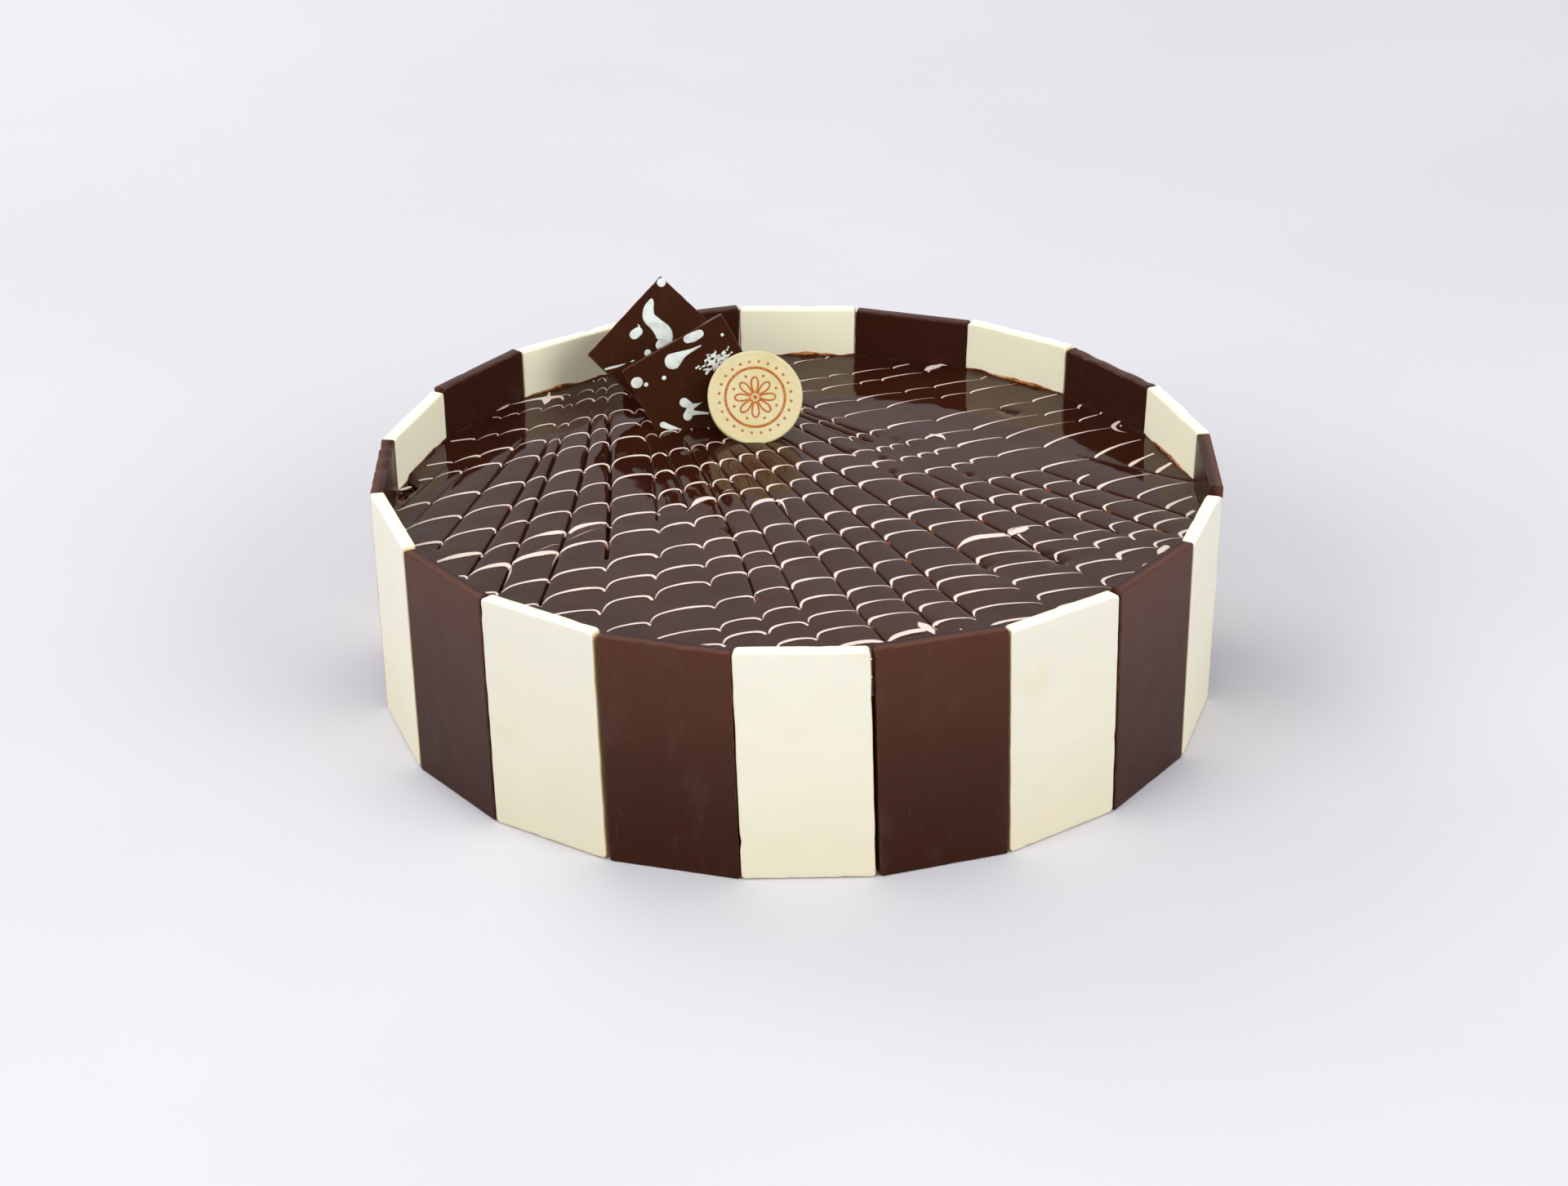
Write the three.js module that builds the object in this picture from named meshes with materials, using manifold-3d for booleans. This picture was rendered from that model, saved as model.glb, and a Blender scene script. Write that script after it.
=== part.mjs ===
// A round marble cake. Twenty upright chocolate panels, white and dark in turn, wall a sponge
// body whose top is a dark glaze dragged into a fan of grooves. Two dark chocolate squares and
// a cream disc stand in the glaze. Millimetres, +Z up, origin at the centre of the base.

import * as THREE from 'three';
import Module from 'manifold-3d';
import { mergeVertices } from 'three/addons/utils/BufferGeometryUtils.js';
import { RoundedBoxGeometry } from 'three/addons/geometries/RoundedBoxGeometry.js';

const wasm = await Module();
wasm.setup();

// Panel ring
const panelCount = 20;
const panelPitch = 40; // seam to seam along the outer face, at the top
const panelHeight = 71.6;
const panelThickness = 4;
const wallFlare = 1.5; // the ring is this much wider in radius at the top than at the foot
const footDrift = { mean: 1.3, swing: 1.4, mostAtDeg: 60 }; // the feet stand askew of the tops
const panelEdgeRound = 0.7;
const seamGap = 0.12; // from a panel's inner edge to the seam's radial plane
const firstSeamDeg = -8.5; // from the front, towards +X
const seamDrift = [0.5, -1, -1.5, -2, -2, -2, -1.5, -1.5, -1, -1.5,
  -2, -2.5, -1.5, -1, -1, -0.5, 0.5, 1.5, 1.5, 1.5]; // hand-laid seams, off their even places
const heightStep = [0, 0.5, -0.3, 0.2, -0.5]; // how much panels differ in height, in turn

// Cake and glaze
const fitGap = 0.3; // between pieces that touch
const wallGap = 0.45; // between the wall of panels and what it holds
const glazeTop = 55.3;
const glazeThickness = 2.8;

// The drag strokes all spread from one point behind the cake's left side
const fanApex = { x: -65, y: 146 };
const fanNear = 36; // the fan's grid runs from this distance to the next, over the whole cake
const fanFar = 284;
const rowSpacing = 7;
const bendNear = 100; // a stroke turns from its near angle to its far angle between these
const bendFar = 230;
const grooveHalfWidth = 1.1;
const pillowRise = 0.35; // the glaze swells this much between two grooves
// near and far angle in degrees, then where the groove starts and ends, then its depth
const strokes = [
  [-27, -27, 0, 0, 0], [-21, -21, 125, 155, 0.3], [-18, -18, 122, 162, 0.3], [-13.5, -13.5, 98, 178, 0.6],
  [-9, -9, 97, 194, 0.8], [-5.8, -5.8, 93, 203, 1], [-1.5, -1.5, 73, 212, 1], [2.9, 2.9, 73, 183, 1.4],
  [9, 6.5, 93, 157, 0.7], [13, 12, 103, 155, 0.7], [17, 14.5, 103, 217, 1], [20, 17.3, 104, 224, 0.7],
  [23, 21, 111, 252, 0.7], [25.5, 25.5, 105, 250, 0.8], [29, 29, 109, 248, 0.8], [33.2, 33.2, 110, 223, 0.7],
  [38.5, 38.5, 157, 233, 1.1], [41.4, 41.4, 163, 219, 0.7], [44.3, 44.3, 177, 230, 0.8],
  [46.8, 46.8, 180, 241, 0.8], [50, 50, 184, 240, 0.7], [55, 55, 190, 229, 0.6], [62, 62, 0, 0, 0],
  [68, 68, 0, 0, 0], [75, 75, 0, 0, 0],
];
const grooveTaper = 9; // a groove fades in and out over this length

// Toppings: centre, way it faces (degrees from the front towards +X), backward lean, turn in its plane
const squareThickness = 2.6;
const squareEdgeRound = 0.4;
const squareBack = { side: 35, centre: [-41.8, 82, 73.3], faceDeg: 11.5, leanDeg: 29, turnDeg: 41.8 };
const squareFront = { side: 36.5, centre: [-30.2, 65, 66.7], faceDeg: 7, leanDeg: 13, turnDeg: 27.2 };
const discRadius = 15;
const discThickness = 3;
const discBevel = 0.5;
const disc = { centre: [-12.6, 58.3, 67.6], faceDeg: 3, leanDeg: 32, turnDeg: 0 };

// A bare spot where the glaze stops short of the wall, at one seam
const bareSpot = { seam: 15, inset: 5, length: 15, width: 5 };

const colours = {
  sponge: 0x5a3522, glaze: 0x2a1410, white: 0xf0eedd, dark: 0x3c241d, square: 0x38211a, disc: 0xebe0b0,
};

const ringRadius = panelPitch / 2 / Math.sin(Math.PI / panelCount);
const halfTurn = Math.PI / panelCount; // half of the angle between neighbouring panels
const radians = THREE.MathUtils.degToRad;

function toSolid(geometry) {
  const bare = geometry.clone();
  bare.deleteAttribute('normal');
  bare.deleteAttribute('uv');
  const merged = mergeVertices(bare, 1e-4);
  return new wasm.Manifold(new wasm.Mesh({
    numProp: 3,
    vertProperties: new Float32Array(merged.attributes.position.array),
    triVerts: new Uint32Array(merged.index.array),
  }));
}

function toGeometry(solid) {
  const mesh = solid.getMesh();
  const geometry = new THREE.BufferGeometry();
  geometry.setAttribute('position', new THREE.BufferAttribute(new Float32Array(mesh.vertProperties), 3));
  geometry.setIndex(new THREE.BufferAttribute(new Uint32Array(mesh.triVerts), 1));
  geometry.computeVertexNormals();
  return geometry;
}

// A closed body from two grids of points, upper and lower, each rows x columns
function slabFromGrids(upper, lower) {
  const rows = upper.length;
  const columns = upper[0].length;
  const positions = [...upper.flat(), ...lower.flat()].flatMap((point) => point.toArray());
  const index = [];
  const below = rows * columns;
  const quad = (a, b, c, d) => index.push(a, b, c, a, c, d);
  const at = (row, column) => row * columns + column;
  for (let row = 0; row < rows - 1; row += 1) {
    for (let column = 0; column < columns - 1; column += 1) {
      const [a, b] = [at(row, column), at(row, column + 1)];
      const [c, d] = [at(row + 1, column + 1), at(row + 1, column)];
      quad(a, d, c, b);
      quad(below + a, below + b, below + c, below + d);
    }
  }
  const rim = [];
  for (let column = 0; column < columns - 1; column += 1) rim.push(at(0, column));
  for (let row = 0; row < rows - 1; row += 1) rim.push(at(row, columns - 1));
  for (let column = columns - 1; column > 0; column -= 1) rim.push(at(rows - 1, column));
  for (let row = rows - 1; row > 0; row -= 1) rim.push(at(row, 0));
  rim.forEach((start, i) => {
    const end = rim[(i + 1) % rim.length];
    quad(start, end, below + end, below + start);
  });
  const geometry = new THREE.BufferGeometry();
  geometry.setAttribute('position', new THREE.Float32BufferAttribute(positions, 3));
  geometry.setIndex(index);
  return geometry;
}

// The seam between panel k - 1 and panel k, at a height, pulled in from the outer face
function seamPoint(k, height, inset) {
  const seam = (k + panelCount) % panelCount;
  const evenAngle = radians(firstSeamDeg) + 2 * halfTurn * seam;
  const rise = height / panelHeight;
  const askew = footDrift.mean + footDrift.swing * Math.cos(evenAngle - radians(footDrift.mostAtDeg));
  const angle = evenAngle + (seamDrift[seam] + askew * (1 - rise)) / ringRadius;
  const radius = ringRadius - wallFlare * (1 - rise) - inset / Math.cos(halfTurn);
  return new THREE.Vector3(radius * Math.sin(angle), -radius * Math.cos(angle), height);
}

function panelGeometry(k) {
  const box = new RoundedBoxGeometry(panelPitch, panelHeight, panelThickness, 1, panelEdgeRound);
  const position = box.attributes.position;
  const height = panelHeight + heightStep[k % heightStep.length];
  for (let i = 0; i < position.count; i += 1) {
    const along = position.getX(i) / panelPitch + 0.5;
    const up = position.getY(i) / panelHeight + 0.5;
    const out = position.getZ(i) - panelThickness / 2;
    const left = seamPoint(k, up * height, 0);
    const right = seamPoint(k + 1, up * height, 0);
    const direction = right.clone().sub(left).normalize();
    const margin = panelThickness * Math.tan(halfTurn) + seamGap;
    left.addScaledVector(direction, margin);
    right.addScaledVector(direction, -margin);
    const outward = new THREE.Vector3(direction.y, -direction.x, 0);
    const point = left.lerp(right, along).addScaledVector(outward, out);
    position.setXYZ(i, point.x, point.y, point.z);
  }
  return toGeometry(toSolid(box));
}

// A prism inside the wall, between two heights
function wallPrism(low, high, inset) {
  const ringAt = (height) => {
    const ring = [];
    for (let k = 0; k < panelCount; k += 1) ring.push(seamPoint(k, height, inset));
    return ring;
  };
  const points = [...ringAt(low), ...ringAt(high)];
  const index = [];
  for (let k = 0; k < panelCount; k += 1) {
    const next = (k + 1) % panelCount;
    index.push(k, next, panelCount + next, k, panelCount + next, panelCount + k);
  }
  for (let k = 1; k < panelCount - 1; k += 1) {
    index.push(0, k + 1, k, panelCount, panelCount + k, panelCount + k + 1);
  }
  const geometry = new THREE.BufferGeometry();
  geometry.setFromPoints(points);
  geometry.setIndex(index);
  return toSolid(geometry);
}

function strokeAngle([near, far], distance) {
  const bend = THREE.MathUtils.clamp((distance - bendNear) / (bendFar - bendNear), 0, 1);
  return radians(near + (far - near) * bend);
}

function grooveDepth([, , start, end, depth], distance) {
  const rampIn = THREE.MathUtils.smoothstep(distance, start - grooveTaper, start + grooveTaper);
  const rampOut = 1 - THREE.MathUtils.smoothstep(distance, end - grooveTaper, end);
  return depth * rampIn * rampOut;
}

function fanPoint(angle, sideways, distance, height) {
  const along = new THREE.Vector2(Math.sin(angle), -Math.cos(angle));
  const across = new THREE.Vector2(Math.cos(angle), Math.sin(angle));
  return new THREE.Vector3(
    fanApex.x + along.x * distance + across.x * sideways,
    fanApex.y + along.y * distance + across.y * sideways,
    height,
  );
}

// One row of the fan: down into each groove, and over a pillow to the next
function fanRow(distance) {
  const row = [];
  strokes.forEach((stroke, i) => {
    const angle = strokeAngle(stroke, distance);
    if (i > 0) row.push(fanPoint(angle, -grooveHalfWidth, distance, glazeTop));
    row.push(fanPoint(angle, 0, distance, glazeTop - grooveDepth(stroke, distance)));
    if (i === strokes.length - 1) return;
    row.push(fanPoint(angle, grooveHalfWidth, distance, glazeTop));
    const middle = (angle + strokeAngle(strokes[i + 1], distance)) / 2;
    row.push(fanPoint(middle, 0, distance, glazeTop + pillowRise));
  });
  return row;
}

function plateMatrix({ centre, faceDeg, leanDeg, turnDeg }) {
  const facing = new THREE.Matrix4().makeRotationZ(radians(faceDeg));
  const upright = new THREE.Matrix4().makeRotationX(radians(90 - leanDeg));
  const turned = new THREE.Matrix4().makeRotationZ(radians(turnDeg));
  const placed = new THREE.Matrix4().makeTranslation(...centre);
  return placed.multiply(facing).multiply(upright).multiply(turned);
}

// Squares and disc lie in XY, with their face at z = 0, before they are stood up
function squareGeometry(square, grow) {
  const side = square.side + 2 * grow;
  const thickness = squareThickness + 2 * grow;
  const box = new RoundedBoxGeometry(side, side, thickness, 1, squareEdgeRound);
  box.translate(0, 0, grow - thickness / 2);
  return box.applyMatrix4(plateMatrix(square));
}

function discGeometry(grow) {
  const radius = discRadius + grow;
  const back = -discThickness - grow;
  const profile = [
    [0, back], [radius - discBevel, back], [radius, back + discBevel],
    [radius, grow - discBevel], [radius - discBevel, grow], [0, grow],
  ].map(([r, z]) => new THREE.Vector2(r, z));
  const lathe = new THREE.LatheGeometry(profile, 48);
  lathe.rotateX(Math.PI / 2);
  return lathe.applyMatrix4(plateMatrix(disc));
}

function pockets() {
  return toSolid(squareGeometry(squareBack, fitGap))
    .add(toSolid(squareGeometry(squareFront, fitGap)))
    .add(toSolid(discGeometry(fitGap)));
}

function bareSpotCutter() {
  const oval = new THREE.CylinderGeometry(1, 1, 3 * glazeThickness, 16);
  oval.rotateX(Math.PI / 2);
  oval.scale(bareSpot.width / 2, bareSpot.length / 2, 1);
  const place = seamPoint(bareSpot.seam, glazeTop, panelThickness + bareSpot.inset / 2);
  return toSolid(oval.translate(place.x, place.y, place.z));
}

function glazeGeometry() {
  const upper = [];
  const rowCount = Math.ceil((fanFar - fanNear) / rowSpacing);
  for (let i = 0; i <= rowCount; i += 1) upper.push(fanRow(fanNear + i * rowSpacing));
  const lower = upper.map((row) => row.map((point) => point.clone().setZ(0)));
  const fan = toSolid(slabFromGrids(upper, lower));
  const inside = wallPrism(glazeTop - glazeThickness, glazeTop + 5, panelThickness + wallGap);
  return toGeometry(fan.intersect(inside).subtract(pockets()).subtract(bareSpotCutter()));
}

function cakeGeometry() {
  const body = wallPrism(0, glazeTop - glazeThickness - fitGap, panelThickness + wallGap);
  return toGeometry(body.subtract(pockets()));
}

function finish(color, roughness) {
  return new THREE.MeshStandardMaterial({ color, roughness, metalness: 0 });
}

const cake = new THREE.Group();

function addPiece(name, geometry, material) {
  const piece = new THREE.Mesh(geometry, material);
  piece.name = name;
  cake.add(piece);
}

addPiece('sponge_body', cakeGeometry(), finish(colours.sponge, 0.9));
addPiece('glaze', glazeGeometry(), finish(colours.glaze, 0.12));
for (let k = 0; k < panelCount; k += 1) {
  const shade = k % 2 === 0 ? 'white' : 'dark';
  const label = String(k + 1).padStart(2, '0');
  addPiece(`panel_${shade}_${label}`, panelGeometry(k), finish(colours[shade], 0.45));
}
const squares = { chocolate_square_back: squareBack, chocolate_square_front: squareFront };
for (const [name, square] of Object.entries(squares)) {
  addPiece(name, toGeometry(toSolid(squareGeometry(square, 0))), finish(colours.square, 0.4));
}
addPiece('chocolate_disc', toGeometry(toSolid(discGeometry(0))), finish(colours.disc, 0.5));

export default cake;
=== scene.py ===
# A round marble cake. A dark mirror glaze, feathered with white icing, fills a ring of upright
# chocolate panels, and two splashed squares and a printed disc stand in it.
# Sizes and places are real millimetres, and each mesh is written in metres.

import math

import bmesh
import bpy
import numpy as np
from mathutils import Matrix, Vector


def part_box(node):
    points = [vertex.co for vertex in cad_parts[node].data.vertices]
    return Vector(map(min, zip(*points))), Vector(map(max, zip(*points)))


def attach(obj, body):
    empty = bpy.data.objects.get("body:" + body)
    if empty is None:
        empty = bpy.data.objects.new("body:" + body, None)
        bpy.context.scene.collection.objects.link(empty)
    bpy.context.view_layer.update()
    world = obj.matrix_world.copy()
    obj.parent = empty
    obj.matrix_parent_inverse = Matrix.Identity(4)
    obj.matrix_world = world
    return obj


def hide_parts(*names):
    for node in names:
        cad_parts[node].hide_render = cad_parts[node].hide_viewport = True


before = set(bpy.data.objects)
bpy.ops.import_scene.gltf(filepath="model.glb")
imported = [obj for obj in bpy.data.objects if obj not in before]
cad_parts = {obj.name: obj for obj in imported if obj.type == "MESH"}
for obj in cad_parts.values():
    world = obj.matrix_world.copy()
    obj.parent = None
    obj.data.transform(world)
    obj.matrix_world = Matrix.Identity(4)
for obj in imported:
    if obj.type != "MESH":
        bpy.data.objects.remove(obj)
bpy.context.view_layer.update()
mm = 0.001


def linear(hexColour):
    channels = [int(hexColour[i:i + 2], 16) / 255 for i in (1, 3, 5)]
    return [c / 12.92 if c <= 0.04045 else ((c + 0.055) / 1.055) ** 2.4 for c in channels] + [1.0]


def addNode(tree, kind, settings=None, inputs=None):
    # an input is a value, a hex colour, a socket, or a node whose first output it takes
    node = tree.nodes.new(kind)
    for name, value in (settings or {}).items():
        if name == "stops":  # a colour ramp's places and colours
            elements = node.color_ramp.elements
            while len(elements) < len(value):
                elements.new(1.0)
            for element, (place, colour) in zip(elements, value):
                element.position = place
                element.color = linear(colour)
        else:
            setattr(node, name, value)
    for name, value in (inputs or {}).items():
        socket = node.inputs[name] if isinstance(name, int) else [
            s for s in node.inputs if s.name == name and s.enabled][0]
        if isinstance(value, bpy.types.Node):
            value = [s for s in value.outputs if s.enabled][0]
        if isinstance(value, bpy.types.NodeSocket):
            tree.links.new(value, socket)
        else:
            socket.default_value = linear(value) if str(value).startswith("#") else value
    return node


smooth = {"interpolation_type": "SMOOTHSTEP"}  # node settings that come up again and again
blend = {"data_type": "RGBA"}
seeded = {"noise_dimensions": "4D"}


def overlay(tree, value, low, high, under, over, most=1.0):
    # under shows where the value is low, and over covers up to most of it where the value is high
    amount = addNode(tree, "ShaderNodeMapRange", smooth,
                     {"Value": value, "From Min": low, "From Max": high, "To Max": most})
    return addNode(tree, "ShaderNodeMix", blend, {"Factor": amount, "A": under, "B": over})


def startMaterial(name, **surfaceValues):  # gives the material, its tree, its shader and object coordinates
    material = bpy.data.materials.new(name)
    material.use_nodes = True
    tree = material.node_tree
    tree.nodes.clear()
    surface = addNode(tree, "ShaderNodeBsdfPrincipled")
    for socket, value in surfaceValues.items():
        surface.inputs[socket.replace("_", " ")].default_value = value
    addNode(tree, "ShaderNodeOutputMaterial", None, {"Surface": surface})
    return material, tree, surface, addNode(tree, "ShaderNodeTexCoord").outputs["Object"]


def waves(points, length, seed, count=14):  # smooth random relief, mostly between -1 and 1
    draw = np.random.default_rng(seed)
    total = np.zeros(len(points))
    for _ in range(count):
        direction = draw.normal(size=points.shape[1])
        direction *= draw.uniform(0.6, 1.5) * 2 * math.pi / (length * np.linalg.norm(direction))
        total += np.sin(points @ direction + draw.uniform(0, 2 * math.pi))
    return total / math.sqrt(2 * count)


def ramp(low, high, value):  # a smooth step from 0 to 1
    t = np.clip((value - low) / (high - low), 0, 1)
    return t * t * (3 - 2 * t)


def makeObject(name, mesh, material):
    piece = bpy.data.objects.new(name, mesh)
    bpy.context.scene.collection.objects.link(piece)
    mesh.materials.clear()
    mesh.materials.append(material)
    for polygon in mesh.polygons:
        polygon.use_smooth = True
    return piece


def meshFrom(name, points, faces):  # points in millimetres
    mesh = bpy.data.meshes.new(name)
    mesh.from_pydata([tuple(p) for p in np.asarray(points) * mm], [], [tuple(f) for f in faces])
    mesh.validate()
    mesh.update()
    return mesh


def ringFaces(around, rings, closed=False):  # for a centre point, then rings, then a last point if closed
    faces = [(0, 1 + i, 1 + (i + 1) % around) for i in range(around)]
    for ring in range(rings - 1):
        a = 1 + ring * around
        for i in range(around):
            j = (i + 1) % around
            faces.append((a + i, a + around + i, a + around + j, a + j))
    if closed:
        last = 1 + (rings - 1) * around
        faces += [(last + i, last + around, last + (i + 1) % around) for i in range(around)]
    return faces


def storeValues(mesh, name, values):
    attribute = mesh.attributes.new(name, "FLOAT", "POINT")
    attribute.data.foreach_set("value", np.asarray(values, dtype=np.float32))


view = {
    "eye": (-3.87, -1000.1, 517.8),
    "target": (-3.87, 0.0, 27.4),
    "rollDeg": -0.33,
    "lens": 83.68,
    "sensorWidth": 36,
    "seesToMetres": 50,
    "floorSize": 14000,
    "floorColour": "#cecdd1",
    "floorMottle": "#d2d1d5",
    "sky": "#fbfbfe",
    "skyStrength": 0.76,
    "underSky": "#8f7458",  # dim and warm from below, so that each panel darkens towards its foot
    "lamps": [  # name, place, size, watts; each looks at the cake
        ("left light", (-1500, -1300, 1300), 1500, 29),
        ("right light", (1500, -1300, 1100), 1500, 27),
        ("far left light", (-1300, 1500, 1200), 1200, 18),
    ],
}
bpy.context.scene.view_settings.view_transform = "Standard"  # cream and cocoa keep their own colours


def makeCamera():
    camera = bpy.data.objects.new("camera", bpy.data.cameras.new("camera"))
    bpy.context.scene.collection.objects.link(camera)
    camera.data.sensor_width = view["sensorWidth"]
    camera.data.lens = view["lens"]
    camera.data.clip_end = view["seesToMetres"]
    eye = Vector(view["eye"]) * mm
    back = (eye - Vector(view["target"]) * mm).normalized()
    right = Vector((0, 0, 1)).cross(back).normalized()
    up = back.cross(right)
    roll = math.radians(view["rollDeg"])
    tiltedRight = right * math.cos(roll) + up * math.sin(roll)
    tiltedUp = up * math.cos(roll) - right * math.sin(roll)
    turn = Matrix((tiltedRight, tiltedUp, back)).transposed().to_4x4()
    camera.matrix_world = Matrix.Translation(eye) @ turn
    bpy.context.scene.camera = camera


def makeFloor():
    half = view["floorSize"] / 2
    corners = [(-half, -half, 0), (half, -half, 0), (half, half, 0), (-half, half, 0)]
    # painted paper: a matt pale sweep with the faintest mottle
    material, tree, surface, where = startMaterial("mattPaintedSweep", Roughness=0.7, Specular_IOR_Level=0.1)
    mottle = addNode(tree, "ShaderNodeTexNoise", None,
                     {"Vector": where, "Scale": 1 / (260 * mm), "Detail": 4.0})
    colour = overlay(tree, mottle, 0.3, 0.7, view["floorColour"], view["floorMottle"])
    tree.links.new(colour.outputs[2], surface.inputs["Base Color"])
    floor = makeObject("floor", meshFrom("floor", corners, [(0, 1, 2, 3)]), material)
    floor.visible_diffuse = False  # the soft light from below is the world's own


def makeLight():
    world = bpy.data.worlds.new("studio")
    bpy.context.scene.world = world
    world.use_nodes = True
    tree = world.node_tree
    background = tree.nodes["Background"]
    background.inputs["Strength"].default_value = view["skyStrength"]
    direction = addNode(tree, "ShaderNodeTexCoord").outputs["Generated"]
    rise = addNode(tree, "ShaderNodeSeparateXYZ", None, {"Vector": direction}).outputs["Z"]
    sky = overlay(tree, rise, -0.12, 0.02, view["underSky"], view["sky"])
    tree.links.new(sky.outputs[2], background.inputs["Color"])
    for name, place, size, watts in view["lamps"]:
        light = bpy.data.lights.new(name, "AREA")
        light.shape = "DISK"
        light.size = size * mm
        light.energy = watts
        lamp = bpy.data.objects.new(name, light)
        bpy.context.scene.collection.objects.link(lamp)
        lamp.location = Vector(place) * mm
        lamp.visible_glossy = False  # the wet glaze mirrors the pale room, and not the lamps
        lamp.rotation_euler = (Vector((0, 0, 0.04)) - lamp.location).to_track_quat("-Z", "Y").to_euler()


makeCamera()
makeFloor()
makeLight()
print("studio ready")


def makeDarkChocolate(name, top, middle, foot, inner, haze, shine, seed):
    # tempered dark chocolate, cast on film: satin, with a grey bloom, faint scuffs and paler edges (worn, and
    # a painted highlight)
    material, tree, surface, where = startMaterial(name, IOR=1.45, Specular_IOR_Level=0.16,
                                                   Specular_Tint=linear(shine))
    # painted reflection and shade: the colour runs from a darker, redder foot to a lighter top
    height = addNode(tree, "ShaderNodeSeparateXYZ", None, {"Vector": where}).outputs["Z"]
    cloud = addNode(tree, "ShaderNodeTexNoise", seeded,
                    {"Vector": where, "W": seed, "Scale": 1 / (22 * mm), "Detail": 4.0, "Roughness": 0.55})
    height = addNode(tree, "ShaderNodeMath", {"operation": "MULTIPLY_ADD"}, {0: cloud, 1: 20 * mm, 2: height})
    height = addNode(tree, "ShaderNodeMapRange", smooth,
                     {"Value": height, "From Min": 8 * mm, "From Max": 86 * mm})
    colour = addNode(tree, "ShaderNodeValToRGB", {"stops": [(0.0, foot), (0.5, middle), (1.0, top)]},
                     {"Fac": height})
    upright = addNode(tree, "ShaderNodeMapping", None, {"Vector": where, "Scale": (1.0, 1.0, 0.5)})
    bloom = addNode(tree, "ShaderNodeTexNoise", seeded,
                    {"Vector": upright, "W": seed + 3, "Scale": 1 / (13 * mm), "Detail": 6.0,
                     "Roughness": 0.62})
    colour = overlay(tree, bloom, 0.5, 0.76, colour, haze, 0.38)
    speck = addNode(tree, "ShaderNodeTexNoise", None,
                    {"Vector": where, "Scale": 1 / (0.8 * mm), "Detail": 2.0})
    colour = overlay(tree, speck, 0.68, 0.8, colour, "#7a5c50", 0.22)
    # painted shade: the inner face, which looks onto the glaze, is darker
    outward = addNode(tree, "ShaderNodeAttribute", {"attribute_name": "outward"}).outputs["Fac"]
    colour = overlay(tree, outward, 0.2, 0.8, inner, colour)
    scuff = addNode(tree, "ShaderNodeMapping", None,
                    {"Vector": where, "Rotation": (0.4, 0.2, 0.3), "Scale": (1.0, 1.0, 0.12)})
    scuff = addNode(tree, "ShaderNodeTexNoise", None,
                    {"Vector": scuff, "Scale": 1 / (1.1 * mm), "Detail": 5.0, "Roughness": 0.6})
    colour = overlay(tree, scuff, 0.62, 0.78, colour, "#8a6a5c", 0.16)
    # paler edges: partly wear, partly a painted edge highlight
    edge = addNode(tree, "ShaderNodeAttribute", {"attribute_name": "edgeWear"}).outputs["Fac"]
    colour = overlay(tree, edge, 0.45, 1.0, colour, "#80503c", 0.6)
    tree.links.new(colour.outputs[2], surface.inputs["Base Color"])
    gloss = addNode(tree, "ShaderNodeMapRange", smooth,
                    {"Value": bloom, "From Min": 0.35, "From Max": 0.75, "To Min": 0.26, "To Max": 0.44})
    tree.links.new(gloss.outputs[0], surface.inputs["Roughness"])
    bump = addNode(tree, "ShaderNodeBump", None, {"Strength": 0.1, "Distance": 0.2 * mm, "Height": scuff})
    tree.links.new(bump.outputs[0], surface.inputs["Normal"])
    return material


def makeWhiteChocolate():
    # white chocolate: dense cream fat, soft sheen, light goes a little way in; butter-yellow stains
    material, tree, surface, where = startMaterial(
        "temperedWhiteChocolate", Roughness=0.46, IOR=1.45, Specular_IOR_Level=0.3,
        Subsurface_Weight=0.2, Subsurface_Scale=2.2 * mm, Subsurface_Radius=(1.0, 0.8, 0.45))
    # painted shade: darker and yellower towards the foot, palest at the top
    height = addNode(tree, "ShaderNodeSeparateXYZ", None, {"Vector": where}).outputs["Z"]
    stain = addNode(tree, "ShaderNodeTexNoise", seeded,
                    {"Vector": where, "W": 2.0, "Scale": 1 / (30 * mm), "Detail": 4.0, "Roughness": 0.55})
    height = addNode(tree, "ShaderNodeMath", {"operation": "MULTIPLY_ADD"}, {0: stain, 1: 30 * mm, 2: height})
    height = addNode(tree, "ShaderNodeMapRange", None,
                     {"Value": height, "From Min": 10 * mm, "From Max": 90 * mm})
    colour = addNode(tree, "ShaderNodeValToRGB",
                     {"stops": [(0.0, "#e9e5ca"), (0.45, "#f3f1df"), (1.0, "#f5f5e9")]}, {"Fac": height})
    colour = overlay(tree, stain, 0.56, 0.76, colour, "#f0e6c0", 0.7)
    # painted shade: the inner face, which looks onto the glaze, is a little darker and yellower
    outward = addNode(tree, "ShaderNodeAttribute", {"attribute_name": "outward"}).outputs["Fac"]
    colour = overlay(tree, outward, 0.8, 0.2, colour, "#f1edd2")
    edge = addNode(tree, "ShaderNodeAttribute", {"attribute_name": "edgeWear"}).outputs["Fac"]
    colour = overlay(tree, edge, 0.5, 1.0, colour, "#efe4bc", 0.3)
    # painted shade: the cut sides, seen in the seams, are darker and tan
    flank = addNode(tree, "ShaderNodeAttribute", {"attribute_name": "sideFace"}).outputs["Fac"]
    colour = overlay(tree, flank, 0.3, 0.9, colour, "#e6cd95", 0.8)
    fleck = addNode(tree, "ShaderNodeTexNoise", None,
                    {"Vector": where, "Scale": 1 / (1.6 * mm), "Detail": 3.0, "Roughness": 0.6})
    colour = overlay(tree, fleck, 0.68, 0.8, colour, "#dccb9f", 0.2)
    tree.links.new(colour.outputs[2], surface.inputs["Base Color"])
    ripple = addNode(tree, "ShaderNodeTexNoise", None,
                     {"Vector": where, "Scale": 1 / (6 * mm), "Detail": 4.0, "Roughness": 0.55})
    bump = addNode(tree, "ShaderNodeBump", None, {"Strength": 0.2, "Distance": 0.4 * mm, "Height": ripple})
    tree.links.new(bump.outputs[0], surface.inputs["Normal"])
    return material


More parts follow.
